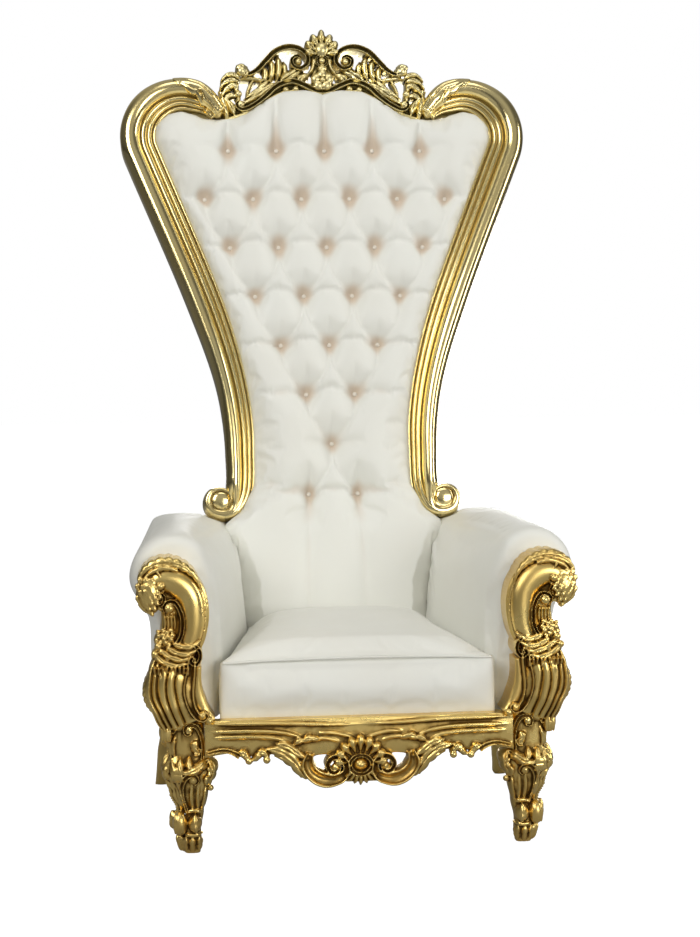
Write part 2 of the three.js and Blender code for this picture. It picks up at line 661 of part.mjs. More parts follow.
// The origin is the middle of the footprint, on the floor.
const extent = new THREE.Box3().setFromObject(throne, true);
throne.position.set(0, -(extent.min.y + extent.max.y) / 2, -extent.min.z);

export default throne;
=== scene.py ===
"""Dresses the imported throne: carved and gilded timber, deep-buttoned ivory upholstery and a plain studio."""

import json
import logging
import math
from dataclasses import dataclass, field
from enum import Enum
from typing import Callable, Iterable, Sequence

import bpy
import numpy as np
from mathutils import Euler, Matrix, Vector


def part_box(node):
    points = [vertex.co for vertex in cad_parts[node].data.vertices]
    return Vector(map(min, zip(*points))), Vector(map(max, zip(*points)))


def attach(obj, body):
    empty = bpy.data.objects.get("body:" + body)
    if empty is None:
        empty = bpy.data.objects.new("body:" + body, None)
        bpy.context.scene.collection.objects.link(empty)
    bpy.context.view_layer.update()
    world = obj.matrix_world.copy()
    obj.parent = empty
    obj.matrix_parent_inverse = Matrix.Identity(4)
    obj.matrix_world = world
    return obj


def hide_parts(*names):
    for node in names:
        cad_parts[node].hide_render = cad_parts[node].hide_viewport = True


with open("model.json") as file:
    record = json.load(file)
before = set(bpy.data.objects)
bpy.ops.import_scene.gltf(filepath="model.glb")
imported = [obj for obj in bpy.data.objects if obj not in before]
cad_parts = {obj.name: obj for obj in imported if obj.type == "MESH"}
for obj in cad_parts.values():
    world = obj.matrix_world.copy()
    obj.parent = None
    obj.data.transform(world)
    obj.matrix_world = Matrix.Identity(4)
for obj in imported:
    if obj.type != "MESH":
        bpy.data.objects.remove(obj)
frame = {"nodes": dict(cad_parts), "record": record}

Array = np.ndarray
Piece = bpy.types.Object
Socket = bpy.types.NodeSocket
Run = Callable[[Array], Array]
Face = Callable[[Array, Array], Array]
Plane = Callable[[Array, Array, Array], Array]
Knots = Sequence[tuple[float, float]]

log = logging.getLogger("throne")
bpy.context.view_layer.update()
BODY = "root"
RANGE = ("From Min", "From Max", "To Min", "To Max")
MM = 0.001


class Side(Enum):
    """The two halves of the throne, named as they are seen from the front."""

    LEFT = -1
    RIGHT = 1

    @property
    def word(self) -> str:
        """The ending of this side's node names."""
        return self.name.lower()


# ---- Places ----


@dataclass(frozen=True)
class Datum:
    """The main planes that pieces are laid on, in metres.

    Each plane takes a place across, a height above the plane's face and a place up, and gives points.
    """

    shift: float
    rake: float = math.radians(9.65)
    pivot_y: float = 0.600
    pivot_z: float = 0.680

    @classmethod
    def read(cls) -> "Datum":
        """Finds how far the design's front face lies from the frame's origin.

        Returns:
            The datum, worked out from the rear rail's place.
        """
        return cls(shift=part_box("rear_rail")[0][1] - 0.586)

    def back(self, a: Array, out: Array, b: Array) -> Array:
        """The leaning plane of the back.

        Args:
            a: Places across.
            out: Heights towards the sitter.
            b: Places up the slope, from the pivot.

        Returns:
            Points in space.
        """
        sin, cos = math.sin(self.rake), math.cos(self.rake)
        return np.stack(
            [a, self.shift + self.pivot_y + b * sin - out * cos, self.pivot_z + b * cos + out * sin], axis=1
        )

    def upright(self, y: float) -> Plane:
        """An upright plane across the throne.

        Args:
            y: How far it lies behind the design's front face.

        Returns:
            The plane.
        """
        return lambda a, out, b: np.stack([a, self.shift + y - out, b], axis=1)


def catmull(knots: Knots, count: int = 40) -> Array:
    """Runs a smooth line through points.

    Args:
        knots: The points, in millimetres.
        count: Samples between two points.

    Returns:
        Points on the line, in metres.
    """
    p = np.array([knots[0], *knots, knots[-1]], dtype=float) * MM
    t = np.linspace(0, 1, count, endpoint=False)[:, None]
    spans = []
    for p0, p1, p2, p3 in zip(p, p[1:], p[2:], p[3:]):
        v0, v1 = (p2 - p0) / 2, (p3 - p1) / 2
        spans.append(
            (2 * p1 - 2 * p2 + v0 + v1) * t**3 + (3 * p2 - 3 * p1 - 2 * v0 - v1) * t**2 + v0 * t + p1
        )
    return np.concatenate([*spans, p[-2:-1]])


@dataclass(frozen=True)
class Line:
    """A line in a plane, measured along its length."""

    points: Array

    @classmethod
    def of(cls, *knots: tuple[float, float]) -> "Line":
        """A smooth line through points given in millimetres."""
        return cls(catmull(knots))

    def at(self, u: Array) -> tuple[Array, Array]:
        """Places and directions along the line.

        Args:
            u: Shares of its length.

        Returns:
            The places, and the unit directions there.
        """
        steps = np.linalg.norm(np.diff(self.points, axis=0), axis=1)
        length = np.concatenate([[0], np.cumsum(steps)])
        s = np.clip(u, 0, 1) * length[-1]
        reach = length[-1] * 0.006
        here, ahead, behind = (
            np.stack(
                [np.interp(np.clip(s + d, 0, length[-1]), length, self.points[:, k]) for k in (0, 1)], axis=1
            )
            for d in (0, reach, -reach)
        )
        along = ahead - behind
        return here, along / np.maximum(np.linalg.norm(along, axis=1, keepdims=True), 1e-9)


def ramp(*stops: tuple[float, float]) -> Run:
    """A smooth value that runs through places, such as a width along a line.

    Args:
        stops: Pairs of a share and the value there.

    Returns:
        The value as a function of the share.
    """
    at, value = np.array(stops, dtype=float).T

    def blend(u: Array) -> Array:
        """The value at each share."""
        k = np.clip(np.searchsorted(at, u) - 1, 0, len(at) - 2)
        t = np.clip((u - at[k]) / (at[k + 1] - at[k]), 0, 1)
        return value[k] + (value[k + 1] - value[k]) * t * t * (3 - 2 * t)

    return blend


def even(width: float) -> Run:
    """A width, in metres, that stays the same along a line."""
    return lambda u: 0 * u + width


def rounded(base: float, rise: float) -> Face:
    """A half-round face that rises from a base, in metres."""
    return lambda u, x: base + rise * bulge(x, 0, 1)


def tapered(*stops: tuple[float, float]) -> Run:
    """A width along a line, from pairs of a share and millimetres."""
    width = ramp(*stops)
    return lambda u: MM * width(u)


def bulge(x: Array, centre: float, reach: float) -> Array:
    """A half-round swelling, one at its centre and nothing beyond its reach."""
    return np.sqrt(np.clip(1 - ((x - centre) / reach) ** 2, 0, 1))


# ---- Making meshes ----


def choose(piece: Piece) -> None:
    """Selects one object alone and makes it active.

    Args:
        piece: The mesh.
    """
    bpy.ops.object.select_all(action="DESELECT")
    piece.select_set(True)
    bpy.context.view_layer.objects.active = piece


def read(piece: Piece) -> Array:
    """The places of a mesh's vertices.

    Args:
        piece: The mesh.

    Returns:
        Their places, one row for each.
    """
    co = np.empty(len(piece.data.vertices) * 3)
    piece.data.vertices.foreach_get("co", co)
    return co.reshape(-1, 3)


def write(piece: Piece, co: Array) -> None:
    """Moves a mesh's vertices."""
    piece.data.vertices.foreach_set("co", np.ascontiguousarray(co).ravel())
    piece.data.update()


def close_up(piece: Piece) -> None:
    """Joins a mesh's seam, fills its ends and turns its faces outwards.

    Args:
        piece: The mesh.
    """
    choose(piece)
    bpy.ops.object.mode_set(mode="EDIT")
    bpy.ops.mesh.select_all(action="SELECT")
    bpy.ops.mesh.remove_doubles(threshold=2e-5)
    bpy.ops.mesh.select_all(action="SELECT")
    bpy.ops.mesh.fill_holes(sides=0)
    bpy.ops.mesh.select_all(action="SELECT")
    bpy.ops.mesh.normals_make_consistent(inside=False)
    bpy.ops.object.mode_set(mode="OBJECT")


def sheet(name: str, columns: int, rows: int, place: Face) -> Piece:
    """Adds a grid and carries it onto a surface.

    Args:
        name: The piece's name.
        columns: Faces along the surface.
        rows: Faces across it.
        place: Gives points in space from shares along and across.

    Returns:
        The piece.
    """
    bpy.ops.object.select_all(action="DESELECT")
    bpy.ops.mesh.primitive_grid_add(x_subdivisions=columns, y_subdivisions=rows, size=1)
    piece = bpy.context.object
    piece.name = name
    flat = read(piece)
    write(piece, place(np.clip(flat[:, 0] + 0.5, 0, 1), np.clip(flat[:, 1] + 0.5, 0, 1)))
    return piece


FACE_SHARE = 0.8


def round_section(v: Array, rows: int) -> tuple[Array, Array]:
    """Carries shares round a closed section: across its face, then back along its rear to where it began.

    Args:
        v: The shares.
        rows: Faces round the section.

    Returns:
        Places across it, from -1 to 1, and whether each lies on the face.
    """
    ended = v > 1 - 0.5 / rows
    front = (v <= FACE_SHARE + 1e-6) | ended
    rear = (v - FACE_SHARE - 1 / rows) / (1 - FACE_SHARE - 2 / rows)
    across = np.where(front, 2 * v / FACE_SHARE - 1, 1 - 2 * np.clip(rear, 0, 1))
    return np.where(ended, -1.0, across), front


def ribbon(
    plane: Plane,
    line: Line,
    width: Run,
    face: Face,
    back: float = 0.03,
    columns: int = 60,
    rows: int = 30,
    sweep: float = 0.0,
    name: str = "carving",
) -> Piece:
    """Sweeps a carved section along a line.

    Args:
        plane: Where the line lies.
        line: The middle of the carving.
        width: Its whole width, in metres, along the line.
        face: The height of its face, in metres, from the share along it and the place across, -1 to 1.
        back: Its thickness behind the plane.
        columns: Faces along it.
        rows: Faces round it.
        sweep: How far its edges are drawn forward along the line, in metres.
        name: The piece's name.

    Returns:
        The carving, closed.
    """

    def place(u: Array, v: Array) -> Array:
        """Finds the points of the skin."""
        centre, along = line.at(u)
        across, front = round_section(v, rows)
        half = width(u) / 2 * across
        out = np.where(front, face(u, across), -back)
        drawn = sweep * np.abs(across) ** 1.5
        a = centre[:, 0] - along[:, 1] * half + along[:, 0] * drawn
        b = centre[:, 1] + along[:, 0] * half + along[:, 1] * drawn
        return plane(a, out, b)

    piece = sheet(name, columns, rows, place)
    close_up(piece)
    return piece


def leaf(
    plane: Plane,
    line: Line,
    width: float,
    height: float,
    lobes: float = 4.0,
    back: float = 0.012,
    base: float = 0.0,
    curl: float = 0.0,
    full: float = 0.38,
    columns: int = 44,
    rows: int = 26,
) -> Piece:
    """Carves an acanthus leaf: lobed edges drawn forward, a sunk midrib and a swelling face.

    Args:
        plane: Where it lies.
        line: Its midrib, from its root to its tip.
        width: Its greatest width.
        height: How far its face swells.
        lobes: How many lobes it has on each side.
        back: Its thickness behind the plane.
        base: How far its edge lies above the plane.
        curl: How far its tip is lifted.
        full: The share of its length where it is widest.
        columns: Faces along it.
        rows: Faces round it.

    Returns:
        The leaf, closed.
    """

    def body(u: Array) -> Array:
        """The width along the leaf, as a share."""
        power = math.log(0.5) / math.log(full)
        return np.sin(np.pi * np.clip(u, 0, 1) ** power) ** 0.7

    def spread(u: Array) -> Array:
        """The width along the leaf, cut into lobes."""
        edge = 0.7 + 0.3 * np.abs(np.sin(np.pi * lobes * u)) ** 0.6
        return np.maximum(width * body(u) * edge, 0.0008)

    def face(u: Array, x: Array) -> Array:
        """The height of the face."""
        veins = np.abs(np.sin(np.pi * lobes * (u - 0.16 * np.abs(x)))) ** 0.7
        swell = (1 - np.abs(x) ** 2.4) * (0.55 + 0.45 * (1 - np.abs(x) + np.abs(x) * veins))
        midrib = 0.35 * np.exp(-((x / 0.13) ** 2))
        return base + height * body(u) ** 0.5 * (swell - midrib) + curl * u**2.5

    return ribbon(plane, line, spread, face, back, columns, rows, sweep=0.12 * width)


def boss(
    plane: Plane, a: float, out: float, b: float, radius: float, depth: float = 1.0, tall: float = 1.0,
    segments: int = 16
) -> Piece:
    """Turns a ball or berry, in millimetres on its plane.

    Args:
        plane: Where it lies.
        a: Its place across.
        out: The height of its centre above the plane.
        b: Its place up.
        radius: Its radius across.
        depth: Its radius outwards, as a share of the one across.
        tall: Its radius upwards, as a share of the one across.
        segments: Faces round it.

    Returns:
        The ball.
    """
    bpy.ops.object.select_all(action="DESELECT")
    bpy.ops.mesh.primitive_uv_sphere_add(segments=segments, ring_count=max(6, segments // 2), radius=1)
    piece = bpy.context.object
    co = read(piece) * radius * MM
    write(piece, plane(a * MM + co[:, 0], out * MM - co[:, 1] * depth, b * MM + co[:, 2] * tall))
    return piece


def scroll(
    plane: Plane,
    line: Line,
    width: Run,
    height: float,
    hollow: float = 0.55,
    back: float = 0.025,
    base: float = 0.0,
    columns: int = 80,
) -> Piece:
    """Carves a C-scroll's band: two raised rims with a hollow between them.

    Args:
        plane: Where it lies.
        line: The middle of the band.
        width: Its width along the line.
        height: The height of its rims.
        hollow: How deep the hollow is, as a share of that height.
        back: Its thickness behind the plane.
        base: How far the whole band stands above the plane.
        columns: Faces along it.

    Returns:
        The band, closed.
    """

    def face(u: Array, x: Array) -> Array:
        """The height of the face."""
        rims = np.maximum(bulge(x, -0.74, 0.26), bulge(x, 0.74, 0.26))
        valley = (1 - hollow) + hollow * np.clip(np.abs(x) / 0.6, 0, 1) ** 2
        return base + height * np.where(np.abs(x) > 0.48, np.maximum(rims, 0.15), valley * 0.72)

    return ribbon(plane, line, width, face, back, columns, 28)


def rib(
    plane: Plane, line: Line, width: float, height: float, back: float = 0.01, base: float = 0.0
) -> Piece:
    """Carves a plain rounded rib that tapers at both ends.

    Args:
        plane: The plane that it lies on.
        line: Its middle line.
        width: Its greatest width.
        height: The height of its face.
        back: Its thickness behind the plane.
        base: How far its edge lies above the plane.

    Returns:
        The rib, closed.
    """
    taper = ramp((0, 0.35), (0.25, 1), (0.7, 0.9), (1, 0.3))
    return ribbon(
        plane,
        line,
        lambda u: width * taper(u),
        lambda u, x: base + height * taper(u) * np.sqrt(np.clip(1 - x**2, 0, 1)),
        back,
        columns=22,
        rows=15,
    )


def joined(name: str, parts: Iterable[Piece]) -> Piece:
    """Joins meshes into one object.

    Args:
        name: Its name.
        parts: The meshes.

    Returns:
        The joined object.
    """
    parts = list(parts)
    choose(parts[0])
    for part in parts:
        part.select_set(True)
    if len(parts) > 1:
        bpy.ops.object.join()
    piece = bpy.context.view_layer.objects.active
    piece.name = piece.data.name = name
    return piece


def apply(piece: Piece, kind: str, **settings: object) -> None:
    """Adds a modifier and applies it.

    Args:
        piece: The object.
        kind: The modifier's type.
        settings: Its values.
    """
    choose(piece)
    modifier = piece.modifiers.new(kind.lower(), kind)
    for key, value in settings.items():
        setattr(modifier, key, value)
    bpy.ops.object.modifier_apply(modifier=modifier.name)


def fused(name: str, parts: Iterable[Piece], voxel: float, smooth: int = 2) -> Piece:
    """Joins carvings and grows them into one skin, as under gesso and leaf.

    Args:
        name: The piece's name.
        parts: The carvings.
        voxel: The size of the skin's faces.
        smooth: How many times it is smoothed.

    Returns:
        The piece.
    """
    piece = joined(name, parts)
    apply(piece, "REMESH", mode="VOXEL", voxel_size=voxel, adaptivity=0.0)
    apply(piece, "SMOOTH", factor=0.5, iterations=smooth)
    return piece


def mirrored(piece: Piece, name: str) -> Piece:
    """Makes the same piece for the other side.

    Args:
        piece: The right-hand piece.
        name: The new piece's name.

    Returns:
        The left-hand piece, with a mesh of its own.
    """
    twin = piece.copy()
    twin.data = piece.data.copy()
    twin.name = twin.data.name = name
    bpy.context.collection.objects.link(twin)
    write(twin, read(twin) * np.array([-1, 1, 1]))
    choose(twin)
    bpy.ops.object.mode_set(mode="EDIT")
    bpy.ops.mesh.select_all(action="SELECT")
    bpy.ops.mesh.flip_normals()
    bpy.ops.object.mode_set(mode="OBJECT")
    return twin


def neighbours_mean(piece: Piece, value: Array, times: int) -> Array:
    """Averages a value over each vertex's neighbours, several times over.

    Args:
        piece: The mesh.
        value: A value for each vertex.
        times: How often it is averaged.

    Returns:
        The averaged value.
    """
    pairs = np.empty(len(piece.data.edges) * 2, dtype=np.int64)
    piece.data.edges.foreach_get("vertices", pairs)
    i, j = pairs.reshape(-1, 2).T
    count = np.bincount(i, minlength=len(value)) + np.bincount(j, minlength=len(value))
    for _ in range(times):
        total = np.bincount(i, value[j], len(value)) + np.bincount(j, value[i], len(value))
        value = 0.5 * value + 0.5 * total / np.maximum(count, 1)
    return value


def mark_hollows(piece: Piece, reach: float = 0.006) -> None:
    """Stores how deep in a hollow each vertex lies, for the gold's patina and for the painted shade in the
    upholstery's creases: 0.5 on flat work, up to 1 in a crease.

    Args:
        piece: The mesh.
        reach: The size of the hollows that matter, in metres.
    """
    co = read(piece)
    normals = np.empty(len(co) * 3)
    piece.data.vertices.foreach_get("normal", normals)
    normals = normals.reshape(-1, 3)
    pairs = np.empty(len(piece.data.edges) * 2, dtype=np.int64)
    piece.data.edges.foreach_get("vertices", pairs)
    i, j = pairs.reshape(-1, 2).T
    step = float(np.median(np.linalg.norm(co[i] - co[j], axis=1)))
    times = int(np.clip((reach / step) ** 2 * 2, 2, 90))
    around = np.stack([neighbours_mean(piece, co[:, k], times) for k in range(3)], axis=1)
    sunk = np.einsum("ij,ij->i", around - co, normals) / reach
    soft = reach > 0.02
    hollow = np.clip(0.5 + (1.1 if soft else 1.65) * neighbours_mean(piece, sunk, 12 if soft else 1), 0, 1)
    layer = piece.data.attributes.new("hollow", "FLOAT", "POINT")
    layer.data.foreach_set("value", hollow.astype(np.float32))


# ---- Finishes ----


class Nodes:
    """A material's node tree, with short ways to add to it."""

    def __init__(self, name: str) -> None:
        """Starts a material.

        Args:
            name: The material's name.
        """
        self.material = bpy.data.materials.new(name)
        self.material.use_nodes = True
        self.tree = self.material.node_tree
        self.shader = self.tree.nodes["Principled BSDF"]
        self.place = self.tree.nodes.new("ShaderNodeTexCoord").outputs["Object"]

    def link(self, output: Socket, target: Socket) -> None:
        """Joins two sockets."""
        self.tree.links.new(output, target)

    def noise(
        self, scale: float, detail: float = 3.0, rough: float = 0.5, stretch: Vector | None = None
    ) -> Socket:
        """Adds a cloudy pattern.

        Args:
            scale: Clouds to a metre.
            detail: Finer clouds within them.
            rough: How strong those are.
            stretch: How much each direction is squeezed, or nothing.

        Returns:
            Its value.
        """
        node = self.tree.nodes.new("ShaderNodeTexNoise")
        node.inputs["Scale"].default_value = scale
        node.inputs["Detail"].default_value = detail
        node.inputs["Roughness"].default_value = rough
        source = self.place
        if stretch is not None:
            mapping = self.tree.nodes.new("ShaderNodeMapping")
            mapping.inputs["Scale"].default_value = stretch
            self.link(source, mapping.inputs["Vector"])
            source = mapping.outputs["Vector"]
        self.link(source, node.inputs["Vector"])
        return node.outputs["Fac"]

    def attribute(self, name: str) -> Socket:
        """Reads a value stored on the mesh.

        Args:
            name: The value's name.

        Returns:
            The value.
        """
        node = self.tree.nodes.new("ShaderNodeAttribute")
        node.attribute_name = name
        return node.outputs["Fac"]

    def graded(self, value: Socket, low: float, high: float, to_low: float, to_high: float) -> Socket:
        """Carries a value from one range to another, held at its ends.

        Args:
            value: The value.
            low: Where the first range starts.
            high: Where it ends.
            to_low: Where the second range starts.
            to_high: Where it ends.

        Returns:
            The new value.
        """
        node = self.tree.nodes.new("ShaderNodeMapRange")
        node.interpolation_type = "SMOOTHSTEP"
        for key, number in zip(RANGE, (low, high, to_low, to_high)):
            node.inputs[key].default_value = number
        self.link(value, node.inputs["Value"])
        return node.outputs["Result"]

    def mixed(self, share: Socket, first: object, second: object, kind: str = "MIX") -> Socket:
        """Mixes two colours, each a colour or a socket.

        Args:
            share: How much of the second is mixed in.
            first: The first.
            second: The second, a socket or a plain value.
            kind: How they are joined.

        Returns:
            The mixture.
        """
        node = self.tree.nodes.new("ShaderNodeMix")
        node.data_type = "RGBA"
        node.blend_type = kind
        self.link(share, node.inputs["Factor"])
        for key, value in ((6, first), (7, second)):
            if isinstance(value, tuple):
                node.inputs[key].default_value = (*value, 1)
            else:
                self.link(value, node.inputs[key])
        return node.outputs[2]

    def math(self, kind: str, first: Socket, second: object) -> Socket:
        """Joins two numbers.

        Args:
            kind: How they are joined.
            first: The first.
            second: The second, a socket or a plain value.

        Returns:
            The result.
        """
        node = self.tree.nodes.new("ShaderNodeMath")
        node.operation = kind
        self.link(first, node.inputs[0])
        if isinstance(second, (int, float)):
            node.inputs[1].default_value = second
        else:
            self.link(second, node.inputs[1])
        return node.outputs[0]

    def bump(self, height: Socket, distance: float, strength: float = 1.0) -> None:
        """Raises the surface by a pattern.

        Args:
            height: The pattern.
            distance: The height of the relief, in metres.
            strength: How strong it is.
        """
        node = self.tree.nodes.new("ShaderNodeBump")
        node.inputs["Distance"].default_value = distance
        node.inputs["Strength"].default_value = strength
        self.link(height, node.inputs["Height"])
        self.link(node.outputs["Normal"], self.shader.inputs["Normal"])


@dataclass(frozen=True)
class GoldLeaf:
    """Burnished gold leaf over carved timber, with brown size left in the hollows."""

    name: str = "gold_leaf"
    bright: tuple[float, float, float] = (0.88, 0.66, 0.235)
    deep: tuple[float, float, float] = (0.58, 0.36, 0.095)
    patina: tuple[float, float, float] = (0.085, 0.045, 0.010)
    roughness: tuple[float, float] = (0.24, 0.36)
    grain: float = 0.12
    antique: float = 1.0

    def make(self) -> bpy.types.Material:
        """Builds the material.

        Returns:
            The finish.
        """
        nodes = Nodes(self.name)
        hollow = nodes.attribute("hollow")
        cloud = nodes.noise(7, 4)
        tone = nodes.mixed(nodes.graded(cloud, 0.35, 0.65, 0.0, 0.5), self.bright, self.deep)
        hollow_level = nodes.math("ADD", hollow, nodes.graded(nodes.noise(70, 4), 0.3, 0.7, -0.04, 0.04))
        warm = nodes.mixed(nodes.graded(hollow_level, 0.51, 0.62, 0.0, 0.75 * self.antique), tone, self.deep)
        stained = nodes.mixed(nodes.graded(hollow_level, 0.56, 0.80, 0.0, 0.96 * self.antique), warm, self.patina)
        nodes.link(stained, nodes.shader.inputs["Base Color"])
        rough = nodes.graded(cloud, 0.3, 0.7, *self.roughness)
        rough = nodes.math("ADD", rough, nodes.graded(hollow_level, 0.58, 0.9, 0.0, 0.25))
        nodes.link(rough, nodes.shader.inputs["Roughness"])
        nodes.shader.inputs["Metallic"].default_value = 1.0
        nodes.bump(nodes.math("ADD", nodes.noise(110, 2), nodes.noise(26, 2)), 0.0005, self.grain)
        return nodes.material


@dataclass(frozen=True)
class IvoryHide:
    """Soft warm-white leatherette with a fine grain and a low sheen, and painted shade: a darker beige laid
    into its creases and dimples.
    """

    name: str = "ivory_hide"
    pale: tuple[float, float, float] = (0.80, 0.797, 0.73)
    warm: tuple[float, float, float] = (0.77, 0.74, 0.65)
    # crease is a painted shade colour for the creases, dimples and buttons.
    crease: tuple[float, float, float] = (0.62, 0.51, 0.39)
    roughness: float = 0.46

    def make(self) -> bpy.types.Material:
        """Builds the material.

        Returns:
            The finish.
        """
        nodes = Nodes(self.name)
        tone = nodes.mixed(nodes.graded(nodes.noise(4, 3), 0.35, 0.75, 0.0, 0.35), self.pale, self.warm)
        # Painted shade: the deeper a vertex lies in a crease or dimple, the more of the darker crease colour
        # it takes.
        fold = nodes.graded(nodes.attribute("hollow"), 0.515, 0.72, 0.0, 0.95)
        nodes.link(nodes.mixed(fold, tone, self.crease), nodes.shader.inputs["Base Color"])
        nodes.link(nodes.graded(nodes.noise(18, 3), 0.3, 0.7, self.roughness - 0.05, self.roughness + 0.08),
                   nodes.shader.inputs["Roughness"])
        nodes.shader.inputs["Sheen Weight"].default_value = 0.12
        nodes.shader.inputs["Sheen Roughness"].default_value = 0.4
        nodes.shader.inputs["Specular IOR Level"].default_value = 0.42
        grain = nodes.tree.nodes.new("ShaderNodeTexVoronoi")
        grain.inputs["Scale"].default_value = 900
        nodes.link(nodes.place, grain.inputs["Vector"])
        pebbles = nodes.math(
            "ADD", nodes.math("MULTIPLY", grain.outputs["Distance"], 0.5), nodes.noise(140, 3)
        )
        nodes.bump(pebbles, 0.00025, 0.3)
        return nodes.material


@dataclass(frozen=True)
class StudioPaper:
    """The studio's white paper, bright to the camera and quieter to the throne."""

    name: str = "studio_paper"
    tone: float = 0.34
    glow: float = 0.93

    def make(self) -> bpy.types.Material:
        """Builds the material.

        Returns:
            The finish.
        """
        nodes = Nodes(self.name)
        low, high = (self.tone - 0.01,) * 3, (self.tone + 0.01,) * 3
        nodes.link(nodes.mixed(nodes.noise(3, 2), low, high), nodes.shader.inputs["Base Color"])
        nodes.shader.inputs["Roughness"].default_value = 0.9
        nodes.shader.inputs["Emission Color"].default_value = (1, 1, 1, 1)
        seen = nodes.tree.nodes.new("ShaderNodeLightPath").outputs["Is Camera Ray"]
        nodes.link(nodes.math("MULTIPLY", seen, self.glow), nodes.shader.inputs["Emission Strength"])
        return nodes.material


@dataclass
class Workshop:
    """Keeps the finishes, parents finished pieces to the body and hides the solids they stand for.

    A skin of more than `fine` triangles is thinned to `kept` times the square root of their number.
    """

    fine: int = 150_000
    kept: float = 155.0
    gold: bpy.types.Material = field(default_factory=lambda: GoldLeaf().make())
    antique: bpy.types.Material = field(
        default_factory=lambda: GoldLeaf(
            "antique_gold_leaf", bright=(0.93, 0.81, 0.43), deep=(0.55, 0.43, 0.16),
            patina=(0.06, 0.045, 0.012), antique=1.0
        ).make()
    )
    burnished: bpy.types.Material = field(
        default_factory=lambda: GoldLeaf("burnished_gold_leaf", (0.94, 0.79, 0.39), (0.80, 0.61, 0.24),
                                         roughness=(0.13, 0.2), grain=0.05,
                                         antique=0.6).make()
    )
    hide: bpy.types.Material = field(default_factory=lambda: IvoryHide().make())

    def finish(
        self,
        piece: Piece,
        material: bpy.types.Material,
        slot: str,
        *nodes: str,
        angle: float = 180.0,
        padded: float | None = None,
    ) -> None:
        """Dresses a piece, parents it to the body and hides the solids it stands for.

        Args:
            piece: The finished mesh.
            material: Its finish.
            slot: The record's slot for that finish.
            nodes: The solids that it stands for.
            angle: Edges sharper than this stay crisp, in degrees.
            padded: How full it is, when it is a cushion or pad; not used.
        """
        # On gold this measure drives the patina; on the hide it drives painted shade in creases and dimples.
        mark_hollows(piece, 0.03 if slot == "ivory_upholstery" else 0.006)
        triangles = 2 * len(piece.data.polygons)
        if triangles > self.fine:
            apply(piece, "DECIMATE", ratio=self.kept / math.sqrt(triangles))
        piece.data.materials.clear()
        piece.data.materials.append(material)
        choose(piece)
        if angle < 180:
            bpy.ops.object.shade_smooth_by_angle(angle=math.radians(angle))
        else:
            bpy.ops.object.shade_smooth()
        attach(piece, BODY)
        if nodes:
            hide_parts(*nodes)
        log.info("%s: %d faces", piece.name, len(piece.data.polygons))

    def gild(
        self, piece: Piece, *nodes: str, angle: float = 180.0, leaf_of: bpy.types.Material | None = None
    ) -> None:
        """Dresses a carved piece in gold leaf."""
        self.finish(piece, leaf_of or self.gold, "gilt_wood", *nodes, angle=angle)

    def upholster(self, piece: Piece, *nodes: str, padded: float | None = None) -> None:
        """Dresses a soft piece in ivory hide."""
        self.finish(piece, self.hide, "ivory_upholstery", *nodes, padded=padded)


# ---- The back's frame ----


